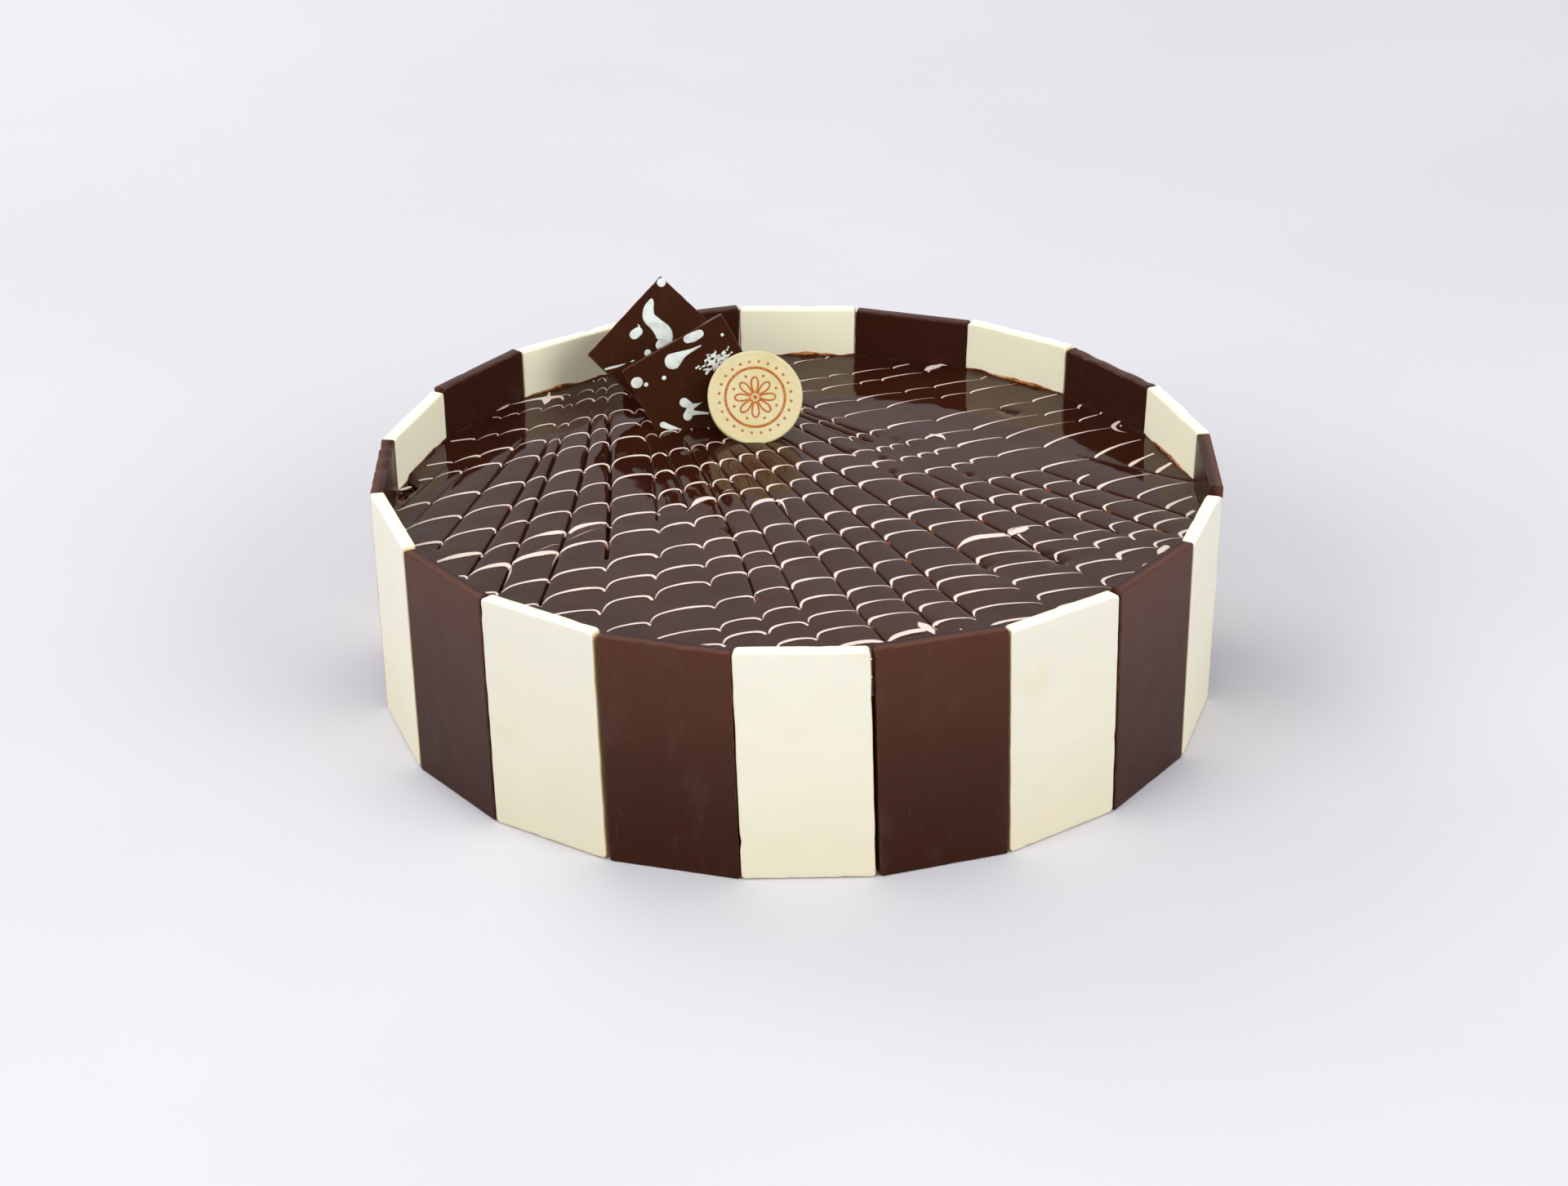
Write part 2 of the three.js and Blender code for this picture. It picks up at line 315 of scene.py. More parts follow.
def makeGlazeFinish():
    # mirror glaze: cocoa, sugar and gelatine set to a wet, nearly black, red-brown mirror
    material, tree, surface, where = startMaterial("cocoaMirrorGlaze", IOR=1.35)
    surface.inputs["Specular Tint"].default_value = linear("#ffcfa8")
    cloud = addNode(tree, "ShaderNodeTexNoise", None,
                    {"Vector": where, "Scale": 1 / (30 * mm), "Detail": 3.0})
    colour = overlay(tree, cloud, 0.35, 0.7, "#2e130a", "#34170c")
    # thin glaze over the groove's floor and where it climbs the panels lets amber through
    rim = addNode(tree, "ShaderNodeAttribute", {"attribute_name": "rim"}).outputs["Fac"]
    ragged = addNode(tree, "ShaderNodeTexNoise", None,
                     {"Vector": where, "Scale": 1 / (5 * mm), "Detail": 4.0, "Roughness": 0.6})
    ragged = addNode(tree, "ShaderNodeMath", {"operation": "MULTIPLY_ADD"}, {0: ragged, 1: 1.5, 2: rim})
    colour = overlay(tree, ragged, 1.35, 1.8, colour, "#40200f")
    # painted shade: the knife cuts and the dimples are darker
    groove = addNode(tree, "ShaderNodeAttribute", {"attribute_name": "groove"}).outputs["Fac"]
    colour = overlay(tree, groove, 0.15, 0.6, colour, "#2c1008", 0.8)
    amber = addNode(tree, "ShaderNodeAttribute", {"attribute_name": "amber"}).outputs["Fac"]
    colour = overlay(tree, amber, 0.25, 0.8, colour, "#84452a")
    tree.links.new(colour.outputs[2], surface.inputs["Base Color"])
    film = addNode(tree, "ShaderNodeTexNoise", None, {"Vector": where, "Scale": 1 / (9 * mm), "Detail": 3.0})
    gloss = addNode(tree, "ShaderNodeMapRange", smooth,
                    {"Value": film, "From Min": 0.3, "From Max": 0.8, "To Min": 0.03, "To Max": 0.09})
    torn = addNode(tree, "ShaderNodeMath", {"operation": "MULTIPLY_ADD"}, {0: groove, 1: 0.5, 2: gloss})
    tree.links.new(torn.outputs[0], surface.inputs["Roughness"])
    ripple = addNode(tree, "ShaderNodeTexNoise", None,
                     {"Vector": where, "Scale": 1 / (6 * mm), "Detail": 2.0})
    bump = addNode(tree, "ShaderNodeBump", None, {"Strength": 0.05, "Distance": 0.1 * mm, "Height": ripple})
    tree.links.new(bump.outputs[0], surface.inputs["Normal"])
    return material


def makeIcingFinish():
    # white chocolate feathered into wet glaze: cream in the thick of a line, caramel where it thins
    material, tree, surface, where = startMaterial("featheredWhiteIcing", Roughness=0.16, IOR=1.44)
    across = addNode(tree, "ShaderNodeAttribute", {"attribute_name": "across"}).outputs["Fac"]
    offAxis = addNode(tree, "ShaderNodeMath", {"operation": "ABSOLUTE"}, {0: across})
    width = addNode(tree, "ShaderNodeAttribute", {"attribute_name": "width"}).outputs["Fac"]
    cream = overlay(tree, width, 0.14, 0.4, "#96705f", "#e6d6ca")
    mottle = addNode(tree, "ShaderNodeTexNoise", None,
                     {"Vector": where, "Scale": 1 / (1.4 * mm), "Detail": 3.0})
    cream = overlay(tree, mottle, 0.5, 0.8, cream, "#d0b5a3", 0.3)
    core = addNode(tree, "ShaderNodeMapRange", smooth,
                   {"Value": width, "From Min": 0.1, "From Max": 0.9, "To Min": 0.3, "To Max": 0.62})
    frayed = addNode(tree, "ShaderNodeTexNoise", None,
                     {"Vector": where, "Scale": 1 / (0.9 * mm), "Detail": 3.0})
    frayed = addNode(tree, "ShaderNodeMath", {"operation": "MULTIPLY_ADD"}, {0: frayed, 1: 0.24, 2: offAxis})
    fringe = addNode(tree, "ShaderNodeMath", {"operation": "SUBTRACT"}, {0: frayed, 1: core})
    colour = overlay(tree, fringe, 0.06, 0.32, cream, "#5d3123")
    colour = overlay(tree, fringe, 0.28, 0.5, colour, "#33160c")
    tree.links.new(colour.outputs[2], surface.inputs["Base Color"])
    return material


def makeSplashFinish():
    # splashed white chocolate: cool white where thick, with a broken, thinner edge
    material, tree, surface, where = startMaterial("splashedWhiteChocolate", Roughness=0.3, IOR=1.45,
                                                   Specular_IOR_Level=0.35)
    cloud = addNode(tree, "ShaderNodeTexNoise", None, {"Vector": where, "Scale": 1 / (3 * mm), "Detail": 4.0})
    colour = overlay(tree, cloud, 0.4, 0.75, "#d6ddd6", "#bfc4bb")
    tree.links.new(colour.outputs[2], surface.inputs["Base Color"])
    return material


def makeDiscFinish():
    # ivory chocolate disc, moulded smooth, a touch waxy
    material, tree, surface, where = startMaterial(
        "ivoryChocolateDisc", Roughness=0.4, IOR=1.45, Specular_IOR_Level=0.3,
        Subsurface_Weight=0.2, Subsurface_Scale=1.5 * mm)
    cloud = addNode(tree, "ShaderNodeTexNoise", None, {"Vector": where, "Scale": 1 / (7 * mm), "Detail": 4.0})
    colour = overlay(tree, cloud, 0.4, 0.75, "#d0c59b", "#cabd8e")
    tree.links.new(colour.outputs[2], surface.inputs["Base Color"])
    ripple = addNode(tree, "ShaderNodeTexNoise", None,
                     {"Vector": where, "Scale": 1 / (2.2 * mm), "Detail": 3.0})
    bump = addNode(tree, "ShaderNodeBump", None, {"Strength": 0.1, "Distance": 0.15 * mm, "Height": ripple})
    tree.links.new(bump.outputs[0], surface.inputs["Normal"])
    return material


def makePrintFinish():
    # cocoa-butter print: thin, matt, rusty brown, patchy as a transfer is
    material, tree, surface, where = startMaterial("cocoaButterPrint", Roughness=0.5, Specular_IOR_Level=0.25)
    patch = addNode(tree, "ShaderNodeTexNoise", None,
                    {"Vector": where, "Scale": 1 / (0.7 * mm), "Detail": 3.0})
    colour = overlay(tree, patch, 0.35, 0.7, "#a9541f", "#c27a3e")
    tree.links.new(colour.outputs[2], surface.inputs["Base Color"])
    return material


def makeRimFinish():
    # browned cocoa butter: thin and glossy, orange where white chocolate shines through it
    material, tree, surface, where = startMaterial("brownedCocoaButter", Roughness=0.25, IOR=1.45)
    cloud = addNode(tree, "ShaderNodeTexNoise", None,
                    {"Vector": where, "Scale": 1 / (2.4 * mm), "Detail": 4.0, "Roughness": 0.6})
    colour = overlay(tree, cloud, 0.38, 0.62, "#6b3412", "#b9753a")
    # painted highlight: pale orange patches
    patch = addNode(tree, "ShaderNodeTexNoise", None, {"Vector": where, "Scale": 1 / (5 * mm), "Detail": 2.0})
    colour = overlay(tree, patch, 0.55, 0.7, colour, "#d3a070")
    tree.links.new(colour.outputs[2], surface.inputs["Base Color"])
    return material


def makeCrumbFinish():
    # cocoa sponge: open, dry and matt, dark in its pores as painted shade
    material, tree, surface, where = startMaterial("cocoaSpongeCrumb", Roughness=0.9, Specular_IOR_Level=0.15)
    pores = addNode(tree, "ShaderNodeTexVoronoi", None, {"Vector": where, "Scale": 1 / (1.3 * mm)})
    colour = overlay(tree, pores, 0.15, 0.6, "#2c150c", "#6a3d24")
    cloud = addNode(tree, "ShaderNodeTexNoise", None, {"Vector": where, "Scale": 1 / (6 * mm), "Detail": 4.0})
    colour = overlay(tree, cloud, 0.4, 0.7, colour, "#7e4a2a", 0.5)
    tree.links.new(colour.outputs[2], surface.inputs["Base Color"])
    bump = addNode(tree, "ShaderNodeBump", None, {"Strength": 0.8, "Distance": 0.5 * mm, "Height": pores})
    tree.links.new(bump.outputs[0], surface.inputs["Normal"])
    return material


darkPanelFinish = makeDarkChocolate(
    "temperedDarkChocolate", top="#533226", middle="#42261b", foot="#341608", inner="#34180f",
    haze="#5a4644", shine="#ffffff", seed=1.0)
squareFinish = makeDarkChocolate(
    "thinDarkChocolateWafer", top="#331a0f", middle="#33190d", foot="#33190d", inner="#2d150b",
    haze="#42281b", shine="#e8a070", seed=7.0)
whitePanelFinish = makeWhiteChocolate()
glazeFinish = makeGlazeFinish()
icingFinish = makeIcingFinish()
splashFinish = makeSplashFinish()
discFinish = makeDiscFinish()
printFinish = makePrintFinish()
rimFinish = makeRimFinish()
crumbFinish = makeCrumbFinish()
print("finishes ready")


panel = {
    "count": 20,
    "pitch": 40,  # seam to seam along the outer face, at the top
    "height": 71.6,
    "thickness": 4,
    "flare": 1.5,
    "footDrift": (1.3, 1.4, 60),  # mean, swing, and where it is most, in degrees
    "seamGap": 0.05,
    # how far each seam stands open at its outer edge: 0 is mitred tight, 1 is square-cut
    "seamOpen": [0.1, 0.95, 0.3, 0.35, 0.25, 0.3, 0.3, 0.4, 0.3, 0.3,
                 0.25, 0.2, 0.3, 0.3, 0.4, 0.3, 0.3, 0.25, 0.15, 0.85],
    "firstSeamDeg": -8.5,
    "seamDrift": [0.5, -1, -1.5, -2, -2, -2, -1.5, -1.5, -1, -1.5,
                  -2, -2.5, -1.5, -1, -1, -0.5, 0.5, 1.5, 1.5, 1.5],
    "heightStep": [0, 0.5, -0.3, 0.2, -0.5],
    "edgeRound": 0.5,
    "cornerRound": {"white": 1.5, "dark": 0.9},
    "edgeWave": {"white": 0.1, "dark": 0.05},
    "edgeReach": 1.4,  # how far in from an edge its waves are felt
    "waveLengths": (9, 4.5, 12),  # of the sides, the foot and the top
    "ragged": {"white": 1.6, "dark": 1},  # how much rougher the foot is
    "chips": 9,
    "chipSize": (0.7, 1.9),
    "chipDepth": {"white": 0.4, "dark": 0.2},
    "faceWave": (16, 0.06),  # length and size of the faces' slow unevenness
    "roughTop": {6: (0.3, 9), 7: (0.3, 5), 15: (0.4, 6)},  # how far these tops wander, over what length
    # broken corners: x, y, reach, depth
    "blunted": {4: (19.5, 35.5, 3.2, 2.2), 15: (-15, 35.5, 2, 0.9)},
    "gridEdge": 1.6,  # the mesh is finer this close to a panel's edges
    "gridCounts": (14, 26, 2),
}
halfTurn = math.pi / panel["count"]
ringRadius = panel["pitch"] / 2 / math.sin(halfTurn)


def seamPoint(k, height, inset):  # height may be an array
    seam = k % panel["count"]
    even = math.radians(panel["firstSeamDeg"]) + 2 * halfTurn * seam
    rise = np.asarray(height, float) / panel["height"]
    mean, swing, mostAt = panel["footDrift"]
    askew = mean + swing * math.cos(even - math.radians(mostAt))
    angle = even + (panel["seamDrift"][seam] + askew * (1 - rise)) / ringRadius
    radius = ringRadius - panel["flare"] * (1 - rise) - inset / math.cos(halfTurn)
    return np.stack([radius * np.sin(angle), -radius * np.cos(angle)], -1)


def slabGrid(halfSize, edge, counts):  # closed box of quads, with lines crowded within edge of each side
    axes = []
    for half, count in zip(halfSize, counts):
        crowd = [0, 0.12, 0.3, 0.55, 0.8, 1]
        inner = np.linspace(-half + edge, half - edge, count + 1)
        left = [-half + edge * c for c in crowd[:-1]]
        axes.append(np.concatenate([left, inner, [-v for v in left[::-1]]]))
    index = {}
    points = []
    faces = []

    def corner(i, j, k):
        key = (i, j, k)
        if key not in index:
            index[key] = len(points)
            points.append((axes[0][i], axes[1][j], axes[2][k]))
        return index[key]

    last = [len(axis) - 1 for axis in axes]
    for i in range(last[0]):
        for j in range(last[1]):
            faces.append([corner(i, j, last[2]), corner(i + 1, j, last[2]),
                          corner(i + 1, j + 1, last[2]), corner(i, j + 1, last[2])])
            faces.append([corner(i, j, 0), corner(i, j + 1, 0), corner(i + 1, j + 1, 0), corner(i + 1, j, 0)])
    for i in range(last[0]):
        for k in range(last[2]):
            faces.append([corner(i, 0, k), corner(i + 1, 0, k), corner(i + 1, 0, k + 1), corner(i, 0, k + 1)])
            faces.append([corner(i, last[1], k), corner(i, last[1], k + 1),
                          corner(i + 1, last[1], k + 1), corner(i + 1, last[1], k)])
    for j in range(last[1]):
        for k in range(last[2]):
            faces.append([corner(0, j, k), corner(0, j, k + 1), corner(0, j + 1, k + 1), corner(0, j + 1, k)])
            faces.append([corner(last[0], j, k), corner(last[0], j + 1, k),
                          corner(last[0], j + 1, k + 1), corner(last[0], j, k + 1)])
    return np.array(points), faces


def roundSlab(points, halfSize, cornerRound, edgeRound):
    # corners are rounded in the plane of the slab first, then every edge is rounded over
    half = np.array(halfSize, float)
    flat = points[:, :2]
    core = np.clip(flat, -(half[:2] - cornerRound), half[:2] - cornerRound)
    out = flat - core
    square = np.abs(out).max(1)
    length = np.linalg.norm(out, axis=1)
    shrink = np.where(length > 0, square / np.maximum(length, 1e-9), 1)
    flat = core + out * shrink[:, None]
    # distance in from the rounded outline
    core = np.clip(flat, -(half[:2] - cornerRound), half[:2] - cornerRound)
    out = flat - core
    length = np.linalg.norm(out, axis=1)
    toSides = (half[:2] - np.abs(flat)).min(1)
    inside = np.where((np.abs(out) > 1e-9).all(1), cornerRound - length, toSides)
    normal = np.where((np.abs(out) > 1e-9).all(1)[:, None], out / np.maximum(length, 1e-9)[:, None],
                      np.where((half[0] - np.abs(flat[:, 0]) < half[1] - np.abs(flat[:, 1]))[:, None],
                               np.stack([np.sign(flat[:, 0]), 0 * flat[:, 0]], 1),
                               np.stack([0 * flat[:, 1], np.sign(flat[:, 1])], 1)))
    z = points[:, 2]
    a = np.clip(edgeRound - inside, 0, edgeRound)
    b = np.clip(edgeRound - (half[2] - np.abs(z)), 0, edgeRound)
    reach = np.maximum(a, b)
    diagonal = np.hypot(a, b)
    scale = np.where(diagonal > 0, reach / np.maximum(diagonal, 1e-9), 1)
    flat = flat + normal * (a * scale - a)[:, None]
    z = z + np.sign(z) * (b * scale - b)
    return np.column_stack([flat, z]), inside


def makePanel(k):
    shade = "white" if k % 2 == 0 else "dark"
    height = panel["height"] + panel["heightStep"][k % len(panel["heightStep"])]
    half = (panel["pitch"] / 2, height / 2, panel["thickness"] / 2)
    points, faces = slabGrid(half, panel["gridEdge"], panel["gridCounts"])
    points, inside = roundSlab(points, half, panel["cornerRound"][shade], panel["edgeRound"])
    draw = np.random.default_rng(400 + k)
    x, y, z = points.T
    # hand-cut edges wander a little, and are chipped here and there, most along the foot
    near = np.exp(-np.maximum(inside, 0) / panel["edgeReach"])
    wave = panel["edgeWave"][shade]
    sideLength, footLength, topLength = panel["waveLengths"]
    uneven = 1 + waves(np.column_stack([y, 40 * np.sign(x)]), sideLength, 700 + k)
    x = x - np.sign(x) * near * wave * uneven
    ragged = wave * (1 + waves(np.column_stack([x, z]), footLength, 800 + k)) * panel["ragged"][shade]
    even = wave * (1 + waves(np.column_stack([x, z]), topLength, 900 + k))
    y = y + near * np.where(y < 0, ragged, -0.5 * even)
    for _ in range(panel["chips"]):
        side = draw.integers(0, 4)
        place = draw.uniform(-0.95, 0.95)
        centre = [(-half[0], place * half[1]), (half[0], place * half[1]),
                  (place * half[0], -half[1]), (place * half[0], half[1])][side]
        size = draw.uniform(*panel["chipSize"])
        bite = panel["chipDepth"][shade] * draw.uniform(0.4, 1)
        fall = np.exp(-((points[:, 0] - centre[0]) ** 2 + (points[:, 1] - centre[1]) ** 2) / size ** 2)
        fall = fall * (0.55 + 0.45 * np.sign(draw.uniform(-1, 1)) * z / half[2])
        if side < 2:
            x = x - np.sign(x) * bite * fall
        else:
            y = y - np.sign(y) * bite * fall
    rough, length = panel["roughTop"].get(k, (0, 1))
    y = y - rough * (1 + waves(np.column_stack([x, 0.3 * z]), length, 600 + k)) * np.exp((y - half[1]) / 4)
    cornerX, cornerY, reach, deep = panel["blunted"].get(k, (0, 0, 1, 0))
    y = y - deep * np.exp(-((x - cornerX) ** 2 + (y - cornerY) ** 2) / reach ** 2)
    length, size = panel["faceWave"]
    z = z + size * waves(np.column_stack([x, y]), length, 500 + k) * (1 - near)
    along = x / panel["pitch"] + 0.5
    rise = np.maximum(y + half[1], 0.0)
    left = seamPoint(k, rise, 0)
    right = seamPoint(k + 1, rise, 0)
    direction = right - left
    direction /= np.linalg.norm(direction, axis=1)[:, None]
    depth = half[2] - z  # behind the outer face
    mitre = depth * math.tan(halfTurn) + panel["seamGap"]
    opening = (panel["thickness"] - depth) * math.tan(halfTurn)
    left = left + direction * (mitre + panel["seamOpen"][k] * opening)[:, None]
    right = right - direction * (mitre + panel["seamOpen"][(k + 1) % panel["count"]] * opening)[:, None]
    outward = np.column_stack([direction[:, 1], -direction[:, 0]])
    place = left + (right - left) * along[:, None] + outward * (z - half[2])[:, None]
    mesh = meshFrom("panel", np.column_stack([place, rise]), faces)
    # the edges: worn, and on dark chocolate also a painted edge highlight
    wear = np.exp(-np.maximum(inside, 0) / 0.5) * np.exp(-((half[2] - np.abs(points[:, 2])) / 0.6) ** 2)
    storeValues(mesh, "edgeWear", wear * (0.7 + 0.3 * waves(points[:, :2], 5, 300 + k)))
    # the cut sides, which the white finish paints darker as shade in the seams
    flank = (np.abs(points[:, 0]) > half[0] - 0.4) & (np.abs(points[:, 2]) < half[2] - 0.1)
    storeValues(mesh, "sideFace", flank.astype(float))
    # outward is 1 on the outer face and 0 on the inner, which the finishes paint as shade
    storeValues(mesh, "outward", 0.5 + 0.5 * points[:, 2] / half[2])
    number = f"{k + 1:02d}"
    finish = whitePanelFinish if shade == "white" else darkPanelFinish
    piece = makeObject(f"{shade}ChocolatePanel{number}", mesh, finish)
    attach(piece, "root")
    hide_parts(f"panel_{shade}_{number}")


for k in range(panel["count"]):
    makePanel(k)
print("panels ready")


fan = {
    "apex": (-65, 146),
    "near": 34,
    "far": 286,
    "rowStep": 0.95,
    "bend": (100, 230),  # a stroke turns from its near angle to its far angle between these
    "taper": (5, 2.2),  # how gently a groove starts and ends
    "grooveHalf": (0.6, 0.5),  # half width of a knife cut, on the left and on the right
    "narrows": (4, 12),  # near angles of the strokes between which it goes from one to the other
    "pillow": 0.1,  # how high the glaze swells between two cuts
    # depth of the sharp cut and of its shoulders, and the shoulders' reach, in half widths
    "cut": (1.9, 0.4, 1.7),
    # the mesh: columns beside a cut in half widths and in millimetres, and across the rest of a cell
    "columns": ((0, 0.35, 0.7, 1, 1.4, 2), 1.6, (0.17, 0.34, 0.5, 0.66, 0.83)),
    "fullCell": 4.2,  # cells narrower than this squeeze their columns
    # near and far angle in degrees, where the groove starts and ends, its depth, the pull it gives
    # the icing, and how far the icing of the cell to its right arches; some turn sooner, and are
    # cut a first time nearer the apex: where they have turned, and that cut's start, end and depth
    "strokes": [
        (-33, -33, 0, 0, 0, 0.8, 0.35), (-21, -21, 125, 155, 0.3, 0.9, 1),
        (-18, -18, 122, 162, 0.3, 0.9, 1), (-13.1, -13.8, 98, 178, 0.7, 1, 1),
        (-7.9, -9.8, 97, 194, 0.9, 1, 1), (-5.5, -6.1, 93, 203, 1, 1.1, 1),
        (-0.1, -2.9, 73, 212, 1, 1.2, 1), (3.9, 2.2, 73, 180, 1.4, 1.5, 1),
        (10.8, 5.5, 93, 155, 0.7, 1.3, 0.6), (13.6, 10.7, 103, 150, 0.7, 1.2, 1),
        (17.7, 13.9, 103, 217, 1, 1, 1), (20.7, 16.9, 104, 224, 0.7, 1, 1),
        (24, 20.9, 111, 252, 0.7, 1, 1), (26.9, 24.7, 105, 250, 0.8, 1, 1),
        (30.3, 27.8, 109, 248, 0.8, 1, 1), (33.6, 32.7, 100, 223, 0.8, 1, 1),
        (38.4, 37.8, 157, 233, 1.1, 1, 1, 230, (84, 133, 1)), (41.6, 41.4, 163, 219, 0.7, 0.9, 1, 150),
        (41.9, 44.5, 177, 230, 0.8, 1, 1, 160, (84, 131, 0.9)),
        (43.6, 47, 180, 241, 0.8, 0.9, 0.8, 165, (84, 129, 0.9)),
        (46.2, 50.2, 184, 240, 0.7, 0.4, 0.2, 170, (84, 101, 0.6)),
        (53.8, 55.8, 190, 229, 0.6, 0.15, -0.3), (60.6, 64.4, 0, 0, 0, 0.35, -0.2),
        (64.3, 67.3, 0, 0, 0, 0.45, 0), (70.2, 71, 0, 0, 0, 0.5, 0), (76, 76, 0, 0, 0, 0.5, 1),
    ],
}
glaze = {
    "top": 55.3,
    "thickness": 2.8,
    "wallGrip": 0.06,  # how far the glaze runs under the panels' faces, so that no slit shows
    "climbCuts": (0.45, 1.2),  # the mesh is cut finer this far from the panels, where it climbs them
    "dimples": [  # x, y, radius, depth
        (27.3, 38.2, 1, 1.3), (30, 27.8, 0.9, 1.2), (53.7, 25.3, 1, 1.3), (31.6, 52.5, 0.7, 0.5),
        (66.3, 75.6, 1, 0.6), (68.4, 74.5, 1.2, 1), (70.6, 73.3, 1.2, 1.1), (18, 43, 1.2, 0.7),
        (-20.3, -14, 1.2, 1.6), (74, -31.8, 1.2, 0.8), (76, -34.6, 1.3, 1), (77.4, -36.9, 1.2, 1.3),
        (53.6, -37, 1, 0.7), (55, -39.6, 1.1, 1), (-74, 75, 0.8, 0.7),
    ],
    "swells": [(32, 0.1, 11), (11, 0.025, 12)],  # length, size and seed of its slow unevenness
    "climb": (0.55, 0.3, 0.9),  # mean and swing of its climb up the panels, and how near them it starts
    "spotDepth": 1.5,
    "bareSpot": (15, 4 + 2.5, 2.5, 7.5),  # seam, inset of its centre, half width, half length
}
apexX, apexY = fan["apex"]


def strokeAngle(stroke, distance):
    low, high = fan["bend"]
    high = stroke[7] if len(stroke) > 7 else high
    bend = np.clip((distance - low) / (high - low), 0, 1)
    return np.radians(stroke[0] + (stroke[1] - stroke[0]) * bend)


def grooveHalf(stroke):
    wide, fine = fan["grooveHalf"]
    half = wide + (fine - wide) * float(ramp(*fan["narrows"], stroke[0]))
    return half * (0.6 + 0.4 * min(stroke[4], 1.2))


def grooveDepth(stroke, distance):
    into, out = fan["taper"]
    total = np.zeros_like(distance)
    for start, end, depth in [stroke[2:5], *stroke[8:]]:
        if depth > 0:
            # the knife dug in where it stopped
            dip = 1 + 0.5 * np.exp(-((distance - end + 2 * out) / 2.0) ** 2)
            cut = ramp(start - into, start + into, distance) * (1 - ramp(end - out, end, distance))
            total += depth * dip * cut
    return total


def wallDistance(x, y):  # how far inside the panels' inner faces a point of the glaze lies
    nearest = np.full(np.shape(x), 1e9)
    for k in range(panel["count"]):
        a = seamPoint(k, glaze["top"], panel["thickness"])
        b = seamPoint(k + 1, glaze["top"], panel["thickness"])
        d = (b - a) / np.linalg.norm(b - a)
        nearest = np.minimum(nearest, -((x - a[0]) * d[1] - (y - a[1]) * d[0]))
    return nearest


spotSeam, spotInset, spotHalfWidth, spotHalfLength = glaze["bareSpot"]
spotCentre = seamPoint(spotSeam, glaze["top"], spotInset)


def spotReach(x, y):  # 1 on the bare spot's uneven outline, less inside it
    u = (x - spotCentre[0]) / spotHalfWidth
    v = (y - spotCentre[1]) / spotHalfLength
    around = np.arctan2(v, u)
    uneven = 1 + 0.12 * np.sin(3 * around + 1) + 0.08 * np.sin(7 * around)
    return np.hypot(u, v) / uneven


def glazeHeight(x, y):
    x = np.asarray(x, float)
    y = np.asarray(y, float)
    distance = np.hypot(x - apexX, y - apexY)
    angle = np.arctan2(x - apexX, apexY - y)
    height = np.full(x.shape, float(glaze["top"]))
    sides = []
    for stroke in fan["strokes"]:
        aside = distance * (angle - strokeAngle(stroke, distance))
        depth = grooveDepth(stroke, distance)
        half = grooveHalf(stroke)
        sharp, soft, reach = fan["cut"]
        height -= sharp * half * depth * np.clip(1 - np.abs(aside) / half, 0, 1)
        height -= soft * half * depth * np.exp(-(aside / (reach * half)) ** 2)
        sides.append((aside, depth / max(stroke[4], 0.01)))
    for (leftAside, leftCover), (rightAside, rightCover) in zip(sides, sides[1:]):
        between = (leftAside >= 0) & (rightAside < 0)
        part = np.where(between, leftAside / np.maximum(leftAside - rightAside, 1e-6), 0)
        cover = 0.1 + 0.45 * (leftCover + rightCover)
        height += np.where(between, fan["pillow"] * cover * np.sin(math.pi * part) ** 1.5, 0)
    for dx, dy, radius, depth in glaze["dimples"]:
        height -= depth * np.exp(-((x - dx) ** 2 + (y - dy) ** 2) / radius ** 2)
    flat = np.column_stack([x.ravel(), y.ravel()])
    for length, size, seed in glaze["swells"]:
        height += size * waves(flat, length, seed).reshape(x.shape)
    mean, swing, reach = glaze["climb"]
    climb = mean + swing * waves(flat, 14, 13).reshape(x.shape)
    height += np.clip(climb, 0.15, 1.2) * np.exp(-np.maximum(wallDistance(x, y), 0) / reach)
    height -= glaze["spotDepth"] * np.exp(-(np.maximum(spotReach(x, y) - 1, 0) / 0.22) ** 2)
    return height


feather = {
    # the icing was piped in near-straight rows: where each crosses x = 0, and its slope
    "rows": [(133, 0.43), (123.5, 0.43), (115.5, 0.43), (99, 0.4), (89.2, 0.4375), (76.5, 0.41),
             (63.4, 0.469), (47.6, 0.456), (33.8, 0.474), (21.5, 0.5), (8, 0.5), (-9, 0.5), (-23, 0.51),
             (-35, 0.53), (-51, 0.54), (-65.5, 0.55), (-76, 0.555), (-87.5, 0.555), (-100, 0.55),
             (-112, 0.55), (-124, 0.55), (-136, 0.55), (-148, 0.55)],
    # where a row ran thick: x, y, reach, and how much wider
    "thick": [(-66, -28, 8, 0.35), (13, 41, 5, 0.5), (57, -19, 7, 0.9), (91, -37, 4, 0.8),
              (-100, -30, 8, 0.7), (-72, -16, 4, 1.1), (-65, -12.5, 4, 1.2), (-77.5, -31, 6, 1.4),
              (-88, -37.5, 6, 0.8), (97.5, -34, 5, 0.5), (103, 34, 4, 0.7), (24, 44, 3, 0.3)],
    "thinBehind": (35, 75, 0.78),  # between these y the lines thin down to this
    "lineWidth": 1.06,
    "leastWidth": 0.24,
    "wander": 0.35,  # how far a whole arc strays
    "bulge": 0.09,  # how far an arc bows out, as a part of its span
    "tilt": (0.0115, 0.25),  # how fast its left end lags as the span grows, and at most
    "clearOf": (0.9, 1.15),  # from the panels, and from the bare spot in its own radii
    # left of these x the rows fall away by this much times the square, and right of this x they rise
    "droop": [(-40, 0.0011), (-110, 0.014)],
    "rise": (88, 0.13),
    # row and cell of the arcs that the smears stand for
    "redrawn": [(1, 1), (1, 2), (9, 9), (10, 11), (12, 20), (14, 15), (18, 11), (18, 12)],
    "legLeft": (3.6, 3.8),  # how far an arc's left leg is dragged, on the left and on the right
    "legRight": (2.8, 2.2),
    "leastArc": 3,
    "hooks": (12, 26),  # between strokes of these near angles, arcs turn from even to hooked
    "samples": 22,
    "seed": 21,
}


